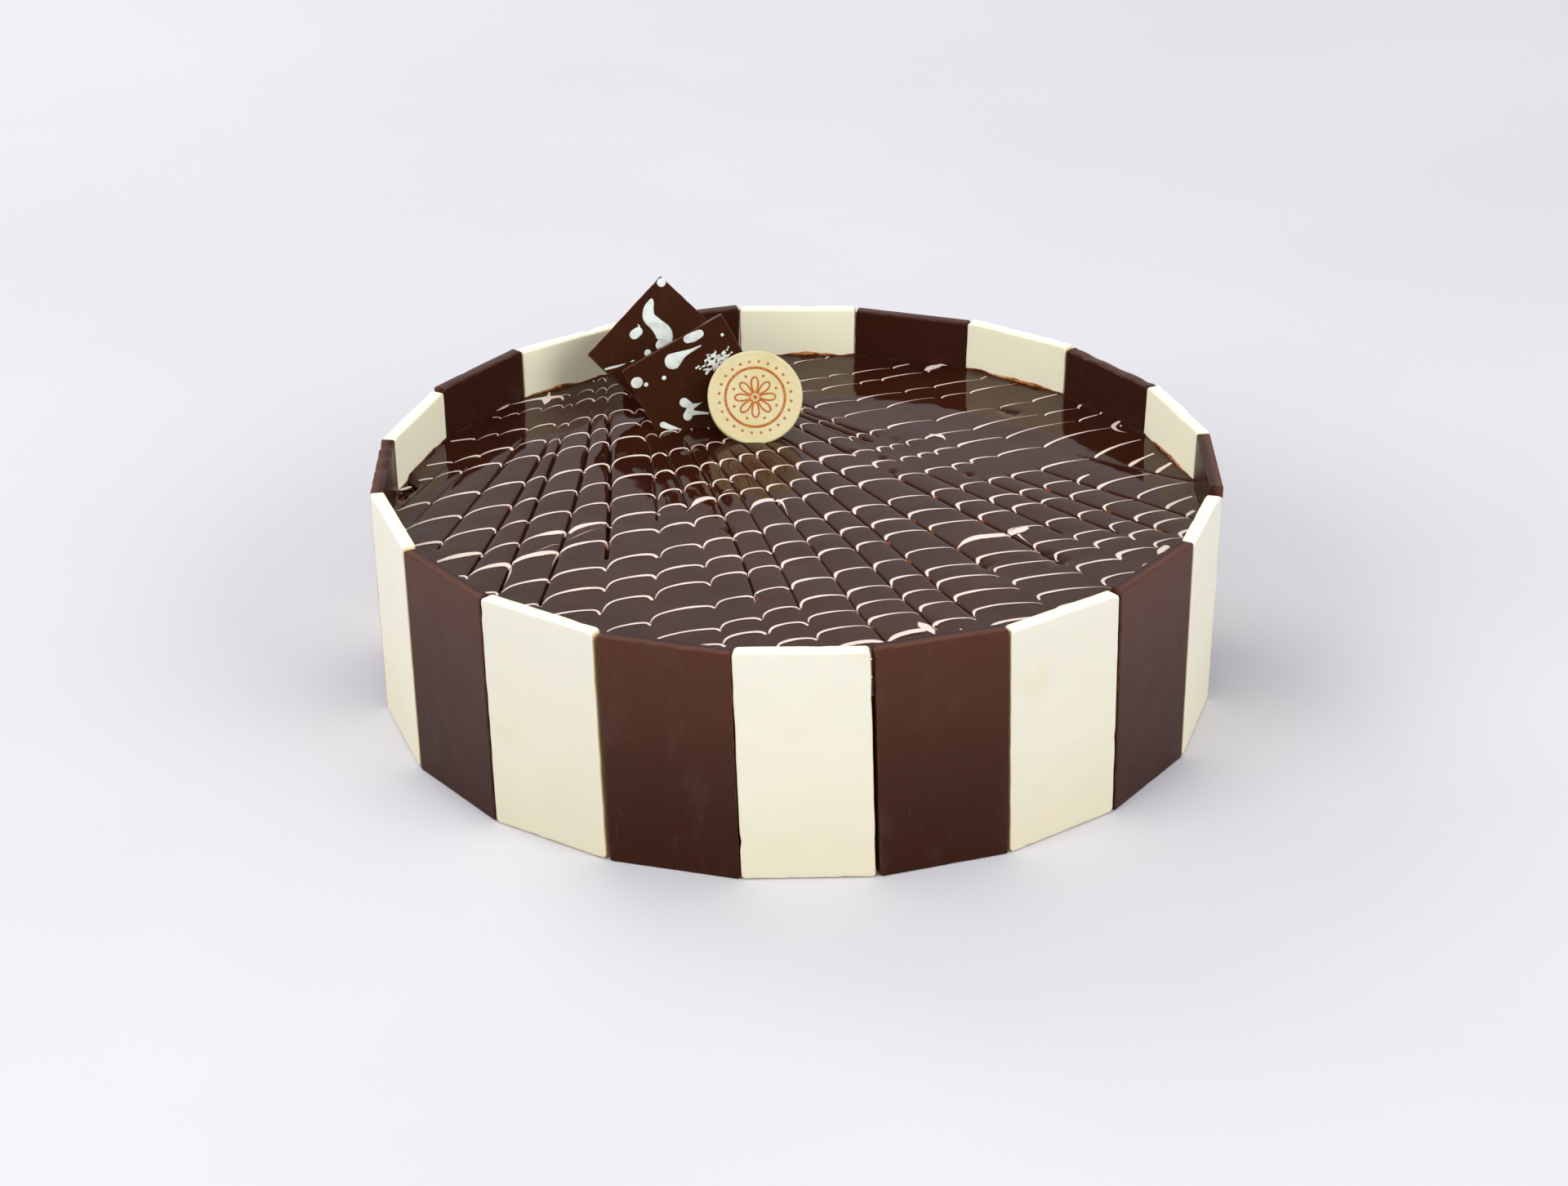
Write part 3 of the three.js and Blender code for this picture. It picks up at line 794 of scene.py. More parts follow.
def rowMeets(stroke, row):
    crossing, slope = row
    distance = 150.0
    for _ in range(6):
        angle = float(strokeAngle(stroke, distance))
        distance = (apexY - crossing - slope * apexX) / (math.cos(angle) + slope * math.sin(angle))
    x = apexX + distance * math.sin(angle)
    for edge, fall in feather["droop"]:
        distance += fall * max(edge - x, 0) ** 2
    distance -= feather["rise"][1] * max(x - feather["rise"][0], 0)
    return np.array([apexX + distance * math.sin(angle), apexY - distance * math.cos(angle)])


def glazeGrid():  # columns run along the knife cuts and crowd beside them, rows run across
    rows = np.arange(fan["near"], fan["far"], fan["rowStep"])
    strokes = [(-31, -31, 0, 0, 0), (-27, -27, 0, 0, 0)] + fan["strokes"][1:] + [(79, 79, 0, 0, 0)]
    steps, beside, parts = fan["columns"]
    steps = np.array(steps)
    columns = []
    for left, right in zip(strokes, strokes[1:]):
        a = strokeAngle(left, rows)
        b = strokeAngle(right, rows)
        width = rows * (b - a)
        squeeze = np.minimum(1, width / fan["fullCell"])
        inner = beside * squeeze / rows
        for offset in [*(steps * grooveHalf(left)), beside]:
            columns.append(a + offset * squeeze / rows)
        for part in parts:
            columns.append(a + inner + (b - a - 2 * inner) * part)
        for offset in [beside, *(steps[:0:-1] * grooveHalf(right))]:
            columns.append(b - offset * squeeze / rows)
    columns.append(strokeAngle(strokes[-1], rows))
    angles = np.stack(columns, 1)
    x = apexX + rows[:, None] * np.sin(angles)
    y = apexY - rows[:, None] * np.cos(angles)
    # the bare spot's rim: points just inside it are moved out onto it
    reach = spotReach(x, y)
    onRim = (reach > 0.6) & (reach < 1)
    x = np.where(onRim, spotCentre[0] + (x - spotCentre[0]) / reach, x)
    y = np.where(onRim, spotCentre[1] + (y - spotCentre[1]) / reach, y)
    reach = np.where(onRim, 1.0, reach)
    inside = wallDistance(x, y) > -3
    keepFace = inside[:-1, :-1] | inside[1:, :-1] | inside[:-1, 1:] | inside[1:, 1:]
    bare = reach < 1.0001
    keepFace &= ~(bare[:-1, :-1] & bare[1:, :-1] & bare[:-1, 1:] & bare[1:, 1:])
    used = np.zeros(x.shape, bool)
    for di in (0, 1):
        for dj in (0, 1):
            used[di:x.shape[0] - 1 + di, dj:x.shape[1] - 1 + dj] |= keepFace
    index = -np.ones(x.shape, int)
    index[used] = np.arange(used.sum())
    points = np.column_stack([x[used], y[used], glazeHeight(x, y)[used]])
    i, j = np.nonzero(keepFace)
    faces = np.column_stack([index[i, j], index[i + 1, j], index[i + 1, j + 1], index[i, j + 1]])
    return points, faces


def trimGlaze(mesh):  # cuts the sheet off at the panels and gives it its thickness
    body = bmesh.new()
    body.from_mesh(mesh)
    for k in range(panel["count"]):
        a = seamPoint(k, glaze["top"], panel["thickness"] - glaze["wallGrip"])
        b = seamPoint(k + 1, glaze["top"], panel["thickness"] - glaze["wallGrip"])
        d = (b - a) / np.linalg.norm(b - a)
        for inset in (0, *glaze["climbCuts"]):
            spot = ((a[0] - inset * d[1]) * mm, (a[1] + inset * d[0]) * mm, 0)
            bmesh.ops.bisect_plane(body, geom=body.verts[:] + body.edges[:] + body.faces[:], dist=1e-6,
                                   plane_co=spot, plane_no=(d[1], -d[0], 0), clear_outer=inset == 0)
    top = np.array([vertex.co[:2] for vertex in body.verts]) / mm
    for vertex, height in zip(body.verts, glazeHeight(top[:, 0], top[:, 1])):
        vertex.co.z = height * mm
    rim = [edge for edge in body.edges if edge.is_boundary]
    grown = bmesh.ops.extrude_edge_only(body, edges=rim)
    foot = (glaze["top"] - glaze["thickness"]) * mm
    lowEdges = [item for item in grown["geom"] if isinstance(item, bmesh.types.BMEdge)]
    for item in grown["geom"]:
        if isinstance(item, bmesh.types.BMVert):
            item.co.z = foot
    lowEdges = [edge for edge in lowEdges if all(abs(v.co.z - foot) < 1e-7 for v in edge.verts)]
    bmesh.ops.triangle_fill(body, edges=lowEdges, use_beauty=False)
    bmesh.ops.recalc_face_normals(body, faces=body.faces[:])
    body.to_mesh(mesh)
    body.free()
    mesh.update()


def markGlaze(mesh):  # stores where the rim, the cuts and the amber are, for the finish
    places = np.empty(len(mesh.vertices) * 3, np.float32)
    mesh.vertices.foreach_get("co", places)
    places = places.reshape(-1, 3) / mm
    storeValues(mesh, "rim", np.exp(-np.maximum(wallDistance(places[:, 0], places[:, 1]), 0) / 1.0))
    distance = np.hypot(places[:, 0] - apexX, places[:, 1] - apexY)
    angle = np.arctan2(places[:, 0] - apexX, apexY - places[:, 1])
    groove = np.zeros(len(places))
    amber = np.zeros(len(places))
    draw = np.random.default_rng(31)
    for stroke in fan["strokes"]:
        aside = distance * (angle - strokeAngle(stroke, distance)) / grooveHalf(stroke)
        depth = np.minimum(1.3 * grooveDepth(stroke, distance), 1)
        groove = np.maximum(groove, depth * np.exp(-aside ** 4))
        for row in feather["rows"]:  # icing dragged into a groove melts to amber there
            meet = rowMeets(stroke, row) - np.array(fan["apex"])
            along = (distance - np.hypot(*meet) - 2.2) / 1.5
            amber += depth * stroke[4] * draw.uniform(0.1, 1.7) * np.exp(-along ** 2 - (aside / 1.4) ** 2)
    # the dimples are darkened with the cuts, as painted shade
    for dx, dy, radius, depth in glaze["dimples"]:
        near = ((places[:, 0] - dx) ** 2 + (places[:, 1] - dy) ** 2) / radius ** 2
        groove = np.maximum(groove, min(depth, 1) * np.exp(-near))
    storeValues(mesh, "groove", groove)
    storeValues(mesh, "amber", amber)


def makeGlaze():
    mesh = meshFrom("glaze", *glazeGrid())
    trimGlaze(mesh)
    markGlaze(mesh)
    piece = makeObject("mirrorGlaze", mesh, glazeFinish)
    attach(piece, "root")
    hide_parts("glaze")
    print("glaze", len(mesh.polygons), "faces")


makeGlaze()


def startNodes(name, inputs):  # gives a node tree that makes a mesh, and the node of its named inputs
    tree = bpy.data.node_groups.new(name, "GeometryNodeTree")
    for label, kind in inputs.items():
        tree.interface.new_socket(label, in_out="INPUT", socket_type=f"NodeSocket{kind}")
    tree.interface.new_socket("Mesh", in_out="OUTPUT", socket_type="NodeSocketGeometry")
    return tree, addNode(tree, "NodeGroupInput")


def makeSweepTree():  # sweeps a flat oval along every path, as wide as the path's width attribute says
    tree, given = startNodes("sweptIcing", {"Paths": "Geometry", "Width": "Float", "Thickness": "Float",
                                            "Sides": "Int", "Finish": "Material"})
    paths = addNode(tree, "GeometryNodeMeshToCurve", None, {"Mesh": given.outputs["Paths"]})
    paths = addNode(tree, "GeometryNodeSetCurveNormal", {"mode": "Z_UP"}, {"Curve": paths})
    oval = addNode(tree, "GeometryNodeCurvePrimitiveCircle", {"mode": "RADIUS"},
                   {"Resolution": given.outputs["Sides"], "Radius": 1.0})
    across = addNode(tree, "GeometryNodeInputPosition")
    across = addNode(tree, "ShaderNodeSeparateXYZ", None, {"Vector": across})
    oval = addNode(tree, "GeometryNodeStoreNamedAttribute", {"data_type": "FLOAT", "domain": "POINT"},
                   {"Geometry": oval, "Name": "across", "Value": across.outputs["X"]})
    flatten = addNode(tree, "ShaderNodeCombineXYZ", None,
                      {"X": given.outputs["Width"], "Y": given.outputs["Thickness"], "Z": 1.0})
    oval = addNode(tree, "GeometryNodeTransform", None, {"Geometry": oval, "Scale": flatten})
    width = addNode(tree, "GeometryNodeInputNamedAttribute", {"data_type": "FLOAT"}, {"Name": "width"})
    swept = addNode(tree, "GeometryNodeCurveToMesh", None,
                    {"Curve": paths, "Profile Curve": oval, "Scale": width, "Fill Caps": True})
    swept = addNode(tree, "GeometryNodeSetShadeSmooth", None, {"Geometry": swept})
    swept = addNode(tree, "GeometryNodeRealizeInstances", None, {"Geometry": swept})
    swept = addNode(tree, "GeometryNodeSetMaterial", None,
                    {"Geometry": swept, "Material": given.outputs["Finish"]})
    addNode(tree, "NodeGroupOutput", None, {"Mesh": swept})
    return tree


sweepTree = makeSweepTree()


def bakeNodes(start, tree, values):  # runs a node tree on a mesh and gives back a plain mesh
    carrier = bpy.data.objects.new(start.name, start)
    bpy.context.scene.collection.objects.link(carrier)
    modifier = carrier.modifiers.new("nodes", "NODES")
    modifier.node_group = tree
    for item in tree.interface.items_tree:
        if item.in_out == "INPUT" and item.name in values:
            modifier[item.identifier] = values[item.name]
    ready = carrier.evaluated_get(bpy.context.evaluated_depsgraph_get())
    mesh = bpy.data.meshes.new_from_object(ready)
    carrier.modifiers.remove(modifier)
    bpy.data.objects.remove(carrier)
    return mesh


def sweep(name, paths, finish, width=1.0, thickness=0.12, sides=10, placed=None):
    # paths: arrays of x, y, z and half width, in millimetres; each point's half width is kept as width
    points = np.concatenate([path[:, :3] for path in paths])
    widths = np.concatenate([path[:, 3] for path in paths])
    links = []
    start = 0
    for path in paths:
        links += [(start + i, start + i + 1) for i in range(len(path) - 1)]
        start += len(path)
    skeleton = bpy.data.meshes.new(name)
    skeleton.from_pydata([tuple(p) for p in points], links, [])
    storeValues(skeleton, "width", widths)
    mesh = bakeNodes(skeleton, sweepTree,
                     {"Width": width, "Thickness": thickness, "Sides": sides, "Finish": finish})
    mesh.transform(Matrix.Scale(mm, 4) @ (placed or Matrix.Identity(4)))
    if sum(polygon.area * polygon.normal.dot(polygon.center) for polygon in mesh.polygons) < 0:
        mesh.flip_normals()
    return makeObject(name, mesh, finish)


def smoothPath(knots, perKnot=6):  # a Catmull-Rom curve through x, y, half width, with round ends
    knots = np.array(knots, float)
    if len(knots) == 1:
        x, y, radius = knots[0]
        knots = np.array([(x - 0.02 * radius, y, radius), (x + 0.02 * radius, y, radius)])
    padded = np.vstack([2 * knots[0] - knots[1], knots, 2 * knots[-1] - knots[-2]])
    samples = []
    for i in range(1, len(padded) - 2):
        a, b, c, d = padded[i - 1:i + 3]
        for t in np.arange(perKnot) / perKnot:
            samples.append(0.5 * (2 * b + (c - a) * t + (2 * a - 5 * b + 4 * c - d) * t ** 2
                                  + (3 * b - a - 3 * c + d) * t ** 3))
    samples.append(padded[-2])
    samples = np.array(samples)
    samples[:, 2] = np.maximum(samples[:, 2], 0.08)
    ends = []
    for tip, inner in ((samples[0], samples[1]), (samples[-1], samples[-2])):
        heading = (tip[:2] - inner[:2]) / max(np.linalg.norm(tip[:2] - inner[:2]), 1e-9)
        cap = []
        for turn in np.radians([25, 45, 62, 76, 86]):
            cap.append([*(tip[:2] + heading * tip[2] * math.sin(turn)), tip[2] * math.cos(turn)])
        ends.append(np.array(cap))
    return np.vstack([ends[0][::-1], samples, ends[1]])


def scallop(left, right, row, draw):  # one arc of icing between two strokes, with its legs dragged out
    start = rowMeets(left, row)
    end = rowMeets(right, row)
    t = 0.015 + 0.97 * (0.5 - 0.5 * np.cos(np.linspace(0, math.pi, feather["samples"])))
    base = start + (end - start) * t[:, None]
    spoke = base - np.array(fan["apex"])
    distance = np.hypot(spoke[:, 0], spoke[:, 1])
    angle = np.arctan2(spoke[:, 0], -spoke[:, 1])
    toLeft = np.maximum(distance * (angle - strokeAngle(left, distance)), 0)
    toRight = np.maximum(distance * (strokeAngle(right, distance) - angle), 0)
    gap = float((toLeft + toRight).max())
    part = toLeft / (toLeft + toRight)
    bulge = feather["bulge"] * gap * 4 * part * (1 - part) * draw.uniform(0.8, 1.25)
    tilt = left[6] * min(feather["tilt"][0] * gap, feather["tilt"][1]) * (0.5 - part) * gap
    hooked = float(ramp(*feather["hooks"], left[0]))
    leftLeg = feather["legLeft"][0] + hooked * (feather["legLeft"][1] - feather["legLeft"][0])
    rightLeg = feather["legRight"][0] + hooked * (feather["legRight"][1] - feather["legRight"][0])
    pull = leftLeg * left[5] * draw.uniform(0.75, 1.25) * np.exp(-toLeft / (1.1 - 0.3 * hooked))
    pull += rightLeg * right[5] * draw.uniform(0.7, 1.2) * np.exp(-toRight / 0.55)
    place = base + spoke / distance[:, None] * (pull - bulge - tilt)[:, None]
    full = feather["lineWidth"] * draw.uniform(0.86, 1.14)
    even = 1 - 0.66 * np.exp(-toLeft / 2.2) - 0.3 * np.exp(-toRight / 0.5)
    hook = (1.2 - 0.78 * part ** 1.1) * (1 - 0.6 * np.exp(-toLeft / 0.9))
    width = full * (even + (hook - even) * hooked)
    width *= 1 + 0.1 * np.sin(part * draw.uniform(4, 9) + draw.uniform(0, 6))
    nearer, further, thin = feather["thinBehind"]
    width *= 1 - (1 - thin) * ramp(nearer, further, place[:, 1])
    for x, y, reach, gain in feather["thick"]:
        width *= 1 + gain * np.exp(-((place[:, 0] - x) ** 2 + (place[:, 1] - y) ** 2) / reach ** 2)
    return place, np.maximum(width, feather["leastWidth"])


# spills, blots and thick arcs of the same icing: x, y, half width along each
smears = [
    [(-91.4, 81.2, 0.3), (-87.9, 84.1, 0.5), (-85.4, 85.7, 0.65), (-82.8, 86.7, 0.8), (-80.4, 87, 1.3),
     (-78.1, 88, 0.95), (-76.3, 88.3, 0.85), (-75.2, 86.9, 0.5), (-75, 85.2, 0.2)],
    [(-79.7, 91.6, 0.3), (-79.8, 89, 0.6), (-80.3, 86, 1.3), (-80.7, 82.6, 0.35)],
    [(-95.6, 76, 0.4), (-94.3, 77.9, 0.9), (-93, 79.7, 0.9), (-92.1, 81, 0.4)],
    [(-68, -20.7, 0.12), (-65.4, -17.8, 0.24), (-62.3, -14.7, 0.24), (-58.6, -11.9, 0.12)],
    [(-77.2, -28.6, 0.12), (-74.7, -25.9, 0.24), (-72.1, -23.6, 0.24), (-70.5, -23.2, 0.2)],
    [(-70.7, -29.7, 0.5), (-71.1, -32.1, 0.35), (-71.8, -38.3, 0.12)],
    [(-83.5, -38.1, 0.4), (-84.1, -45.4, 0.26), (-85.1, -51.4, 0.12)],
    [(-33.2, -0.6, 0.2), (-31.8, 2.6, 0.35), (-30.6, 5.2, 0.8), (-29.1, 7.3, 1.15), (-27, 8.6, 1.05),
     (-24.9, 8.4, 0.6), (-24.4, 7, 0.25)],
    [(-14.2, -1.6, 0.15), (-13.4, 1.8, 0.4), (-12.1, 4.5, 0.8), (-9.9, 6.4, 1.05), (-7.4, 7.1, 1.05),
     (-5.3, 6.4, 0.8), (-4.2, 4.6, 0.5), (-3.4, 1.2, 0.28), (-2.5, -3.8, 0.14)],
    [(-22.5, 12.6, 0.15), (-20.8, 14.4, 0.3), (-18.6, 15.4, 0.15)],
    [(42.3, 56.4, 0.25), (43.8, 55.8, 0.6), (45.7, 55.1, 0.85), (46.8, 53.6, 0.45), (47.3, 51.8, 0.2)],
    [(43.4, 109, 0.7), (44.6, 110.4, 1.25), (46.3, 111.7, 1.4), (48.4, 112.4, 1.2), (49.8, 112, 0.5)],
    [(40.8, 117.5, 0.5)],
    [(97.6, 71.7, 0.35), (98.8, 73, 0.6), (100.4, 73.5, 0.65), (101.6, 72.7, 0.45)],
    [(100.9, 73.4, 0.5), (101.5, 75.3, 0.25)],
    [(104.6, 57, 0.2), (102.3, 58.3, 0.45), (101.1, 60.6, 0.7), (101.3, 62.8, 0.75), (102.9, 64.9, 0.6),
     (105.4, 65.6, 0.25)],
    [(86.9, 17.2, 0.2), (86.6, 19.4, 0.45), (87.3, 21.6, 0.6), (88.6, 23.2, 0.6), (90.3, 24.5, 0.4)],
    [(47.2, -28.2, 0.2), (48.6, -25.4, 0.5), (50.6, -22.6, 0.95), (53.6, -20.6, 1.3), (57.6, -19.6, 1.25),
     (61.6, -18.6, 1.15), (64.5, -17.2, 1.25), (66.8, -15.4, 1.5), (68.6, -14, 0.9)],
    [(65.7, -17.6, 0.6), (66.6, -20, 0.4), (67.9, -22.6, 0.25), (69.4, -25.4, 0.12)],
    [(34.4, -76.8, 0.5), (35.6, -79, 1.4), (37.4, -81.4, 1.05), (38.4, -83.6, 0.35)],
    [(24.4, -90.6, 0.2), (25.6, -88, 0.5), (27.7, -85.2, 0.9), (31.4, -82.8, 1.05), (35.2, -81.4, 1.05)],
    [(8.9, -98, 0.2), (9.9, -94.2, 0.45), (12.4, -91, 0.75), (16.4, -89.2, 0.9), (20.6, -88.2, 0.9),
     (23.4, -88.6, 0.6), (24, -90.4, 0.25)],
    [(106.4, -32, 0.4), (107.4, -30, 1), (109.2, -27.4, 1)],
    [(46, -81, 0.4)],
    [(-121.7, 18.6, 0.5), (-120.3, 20.2, 0.8), (-118.8, 21.8, 0.6)],
]


def makeFeathering():
    draw = np.random.default_rng(feather["seed"])
    paths = []
    for line, row in enumerate(feather["rows"]):
        for cell, (left, right) in enumerate(zip(fan["strokes"], fan["strokes"][1:])):
            place, width = scallop(left, right, row, draw)
            place = place + feather["wander"] * draw.normal(size=2)
            short = np.linalg.norm(place[-1] - place[0]) < feather["leastArc"]
            if short or (line, cell) in feather["redrawn"]:
                continue
            clear = wallDistance(place[:, 0], place[:, 1]) > feather["clearOf"][0]
            clear &= spotReach(place[:, 0], place[:, 1]) > feather["clearOf"][1]
            breaks = np.flatnonzero(np.diff(np.concatenate([[0], clear.astype(int), [0]])))
            for first, stop in zip(breaks[::2], breaks[1::2]):
                if stop - first < 4:
                    continue
                xy = place[first:stop]
                z = glazeHeight(xy[:, 0], xy[:, 1])
                paths.append(np.column_stack([xy, z, width[first:stop] / 2]))
    piece = sweep("featheredIcing", paths, icingFinish, width=1.7, thickness=0.15)
    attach(piece, "root")
    spills = []
    for knots in smears:
        path = smoothPath(knots, 10)
        z = glazeHeight(path[:, 0], path[:, 1])
        spills.append(np.column_stack([path[:, :2], z, path[:, 2]]))
    spilt = sweep("spiltIcing", spills, icingFinish, width=1.5, thickness=0.16, sides=14)
    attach(spilt, "root")
    print("icing lines", len(paths), "faces", len(piece.data.polygons))


makeFeathering()


rim = {
    "halfWidth": (0.05, 0.14, 0.8),  # least, mean and most, up the wall
    "swell": (8, 0.2),  # length and size of its slow swelling
    "fray": (3, 0.06),  # and of its ragged edge
    # where it is wider, partly thicker browning and partly a painted highlight: x, y, reach, and how much
    # wider it is
    "widerAndHighlit": [(-78, 94, 8, 0.5), (5, 122, 8, 0.5), (73, 97, 9, 0.55), (115, 36, 10, 0.5)],
    "points": 90,
    "seed": 90,
}


def makeRim():  # where warm glaze met white chocolate it crept up the wall and browned
    paths = []
    least, mean, most = rim["halfWidth"]
    for k in range(0, panel["count"], 2):
        a = seamPoint(k, glaze["top"], panel["thickness"] + 0.12)
        b = seamPoint(k + 1, glaze["top"], panel["thickness"] + 0.12)
        flat = a + (b - a) * np.linspace(0.02, 0.98, rim["points"])[:, None]
        half = mean + rim["swell"][1] * waves(flat, rim["swell"][0], rim["seed"] + k)
        half = half + rim["fray"][1] * waves(flat, rim["fray"][0], rim["seed"] + k + 1)
        # partly a painted highlight: the band widens at these spots
        for x, y, reach, more in rim["widerAndHighlit"]:
            half += more * np.exp(-((flat[:, 0] - x) ** 2 + (flat[:, 1] - y) ** 2) / reach ** 2)
        half = np.clip(half, least, most)
        z = glazeHeight(flat[:, 0], flat[:, 1]) + 0.3 * half
        paths.append(np.column_stack([flat, z, half]))
    piece = sweep("brownedRim", paths, rimFinish, width=0.3, thickness=1, sides=8)
    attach(piece, "root")


makeRim()


crumbs = {
    "heap": (-121, 8.5, 1.7, 3, 1.3),  # x, y, reach across, reach along, height
    "patch": (0.94, 6, 28),  # how much of the bare spot it fills, its rings, and the points of each
    "lift": 0.1,  # above the sponge
    "perSquareMm": 2.4,
    "radius": (0.22, 0.62),
    "seed": 5,
}


def makeCrumbTree():  # crumbs of many sizes lie thick on a patch of sponge
    tree, given = startNodes("looseCrumbs", {"Patch": "Geometry", "Density": "Float", "Smallest": "Float",
                                             "Largest": "Float", "Seed": "Int", "Finish": "Material"})
    places = addNode(tree, "GeometryNodeDistributePointsOnFaces", None,
                     {"Mesh": given.outputs["Patch"], "Density": given.outputs["Density"],
                      "Seed": given.outputs["Seed"]})
    crumb = addNode(tree, "GeometryNodeMeshIcoSphere", None, {"Radius": 1.0, "Subdivisions": 2})
    turn = addNode(tree, "FunctionNodeRandomValue", {"data_type": "FLOAT_VECTOR"},
                   {"Min": (0.0, 0.0, 0.0), "Max": (6.28, 6.28, 6.28), "Seed": 1})
    stretch = addNode(tree, "FunctionNodeRandomValue", {"data_type": "FLOAT_VECTOR"},
                      {"Min": (0.7, 0.6, 0.5), "Max": (1.2, 1.1, 0.9), "Seed": 2})
    size = addNode(tree, "FunctionNodeRandomValue", {"data_type": "FLOAT"},
                   {"Min": given.outputs["Smallest"], "Max": given.outputs["Largest"], "Seed": 3})
    stretch = addNode(tree, "ShaderNodeVectorMath", {"operation": "SCALE"},
                      {"Vector": stretch, "Scale": size})
    loose = addNode(tree, "GeometryNodeInstanceOnPoints", None,
                    {"Points": places, "Instance": crumb, "Rotation": turn, "Scale": stretch})
    loose = addNode(tree, "GeometryNodeRealizeInstances", None, {"Geometry": loose})
    rough = addNode(tree, "ShaderNodeTexNoise", None,
                    {"Vector": addNode(tree, "GeometryNodeInputPosition"), "Scale": 2.2, "Detail": 3.0})
    rough = addNode(tree, "ShaderNodeVectorMath", {"operation": "SUBTRACT"},
                    {0: rough.outputs["Color"], 1: (0.5, 0.5, 0.5)})
    rough = addNode(tree, "ShaderNodeVectorMath", {"operation": "SCALE"}, {"Vector": rough, "Scale": 0.8})
    loose = addNode(tree, "GeometryNodeSetPosition", None, {"Geometry": loose, "Offset": rough})
    joined = addNode(tree, "GeometryNodeJoinGeometry", None, {"Geometry": loose})
    tree.links.new(given.outputs["Patch"], joined.inputs["Geometry"])
    joined = addNode(tree, "GeometryNodeSetMaterial", None,
                     {"Geometry": joined, "Material": given.outputs["Finish"]})
    addNode(tree, "NodeGroupOutput", None, {"Mesh": joined})
    return tree


def makeCrumbs():
    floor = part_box("sponge_body")[1][2] / mm
    floor += crumbs["lift"]
    x0, y0, across, along, tall = crumbs["heap"]
    fills, rings, around = crumbs["patch"]
    points = [(*spotCentre, floor)]
    for reach in np.linspace(0, fills, rings + 1)[1:]:
        for turn in np.linspace(0, 2 * math.pi, around, endpoint=False):
            x = spotCentre[0] + reach * spotHalfWidth * math.cos(turn)
            y = spotCentre[1] + reach * spotHalfLength * math.sin(turn)
            swell = math.exp(-((x - x0) / across) ** 2 - ((y - y0) / along) ** 2)
            points.append((x, y, floor + tall * swell))
    patch = bpy.data.meshes.new("crumbPatch")
    patch.from_pydata(points, [], ringFaces(around, rings))
    mesh = bakeNodes(patch, makeCrumbTree(),
                     {"Density": crumbs["perSquareMm"], "Smallest": crumbs["radius"][0],
                      "Largest": crumbs["radius"][1], "Seed": crumbs["seed"], "Finish": crumbFinish})
    mesh.transform(Matrix.Scale(mm, 4))
    piece = makeObject("looseCrumbs", mesh, crumbFinish)
    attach(piece, "root")
    print("crumb faces", len(mesh.polygons))


makeCrumbs()


def plateMatrix(plate):
    placed = Matrix.Translation(plate["centre"])
    facing = Matrix.Rotation(math.radians(plate["faceDeg"]), 4, "Z")
    upright = Matrix.Rotation(math.radians(90 - plate["leanDeg"]), 4, "X")
    turned = Matrix.Rotation(math.radians(plate["turnDeg"]), 4, "Z")
    return placed @ facing @ upright @ turned


squares = {
    "chocolate_square_back": {
        "side": 35, "centre": (-41.8, 82, 73.3), "faceDeg": 11.5, "leanDeg": 29, "turnDeg": 41.8,
        "splashes": [
            [(16, 15.8, 1.5)],
            [(10.4, 14.8, 0.2), (9, 14, 1), (6.8, 13, 1.7), (4.9, 11, 2.1), (4.8, 7.8, 2.3), (4.5, 4.4, 2.9),
             (2.7, 2.4, 2.5), (0.9, 2.3, 1.7)],
            [(-2.4, 10.8, 1.6), (-0.9, 10.6, 1.5)],
            [(-0.6, 11, 0.4), (0.4, 11.2, 0.35), (1, 13, 0.25)],
            [(-3.8, 3.7, 1.2)],
            [(-17, 10, 0.4), (-13, 7.5, 0.5), (-8.7, 5.3, 0.45)],
        ],
    },
    "chocolate_square_front": {
        "side": 36.5, "centre": (-30.2, 65, 66.7), "faceDeg": 7, "leanDeg": 13, "turnDeg": 27.2,
        "splashes": [
            [(5, 16.6, 1.4), (6.8, 16.3, 1.6), (9, 16.2, 1.4)],
            [(-2.5, 12.8, 2.7), (-0.4, 13, 1.9), (1.3, 13.1, 1.2), (4, 12.9, 0.6), (7.5, 12.7, 0.2)],
            [(-15.8, 12.6, 1.9)],
            [(-13.6, 10.6, 0.75)], [(-7.6, 9.6, 0.8)],
            [(-5.9, -0.6, 1.6), (-4.9, -2.8, 1.2), (-7.1, -4.9, 1.5)],
            [(-4.9, -2.8, 1), (-2, -3.2, 0.6), (0.7, -3.4, 0.4)],
            [(-6, -4.4, 1), (-3.5, -5.8, 0.6), (-1.2, -7.3, 0.4)],
            [(-15.3, -3.3, 1.1), (-13.4, -5.6, 0.8), (-10.7, -8.5, 0.5)],
            [(15.1, 12.3, 0.6)], [(14.9, 7.9, 0.3)],
        ],
    },
}
wafer = {  # what both squares share
    "thickness": 2.6,
    "cornerRound": 0.6,
    "edgeRound": 0.28,
    "edgeWave": (5, 0.1),  # length and size
    "edgeReach": 0.9,
    "faceWave": (12, 0.05),
    "gridEdge": 0.9,
    "gridCounts": (16, 16, 1),
    "splashRise": -0.02,  # of a splash's middle above the face
    # a fine spatter on the front square: number of drops, their centre, spread, radius and rise
    "spatter": (110, (9.2, 5.6), (2.2, 1.6), (0.1, 0.42), 0.05),
}


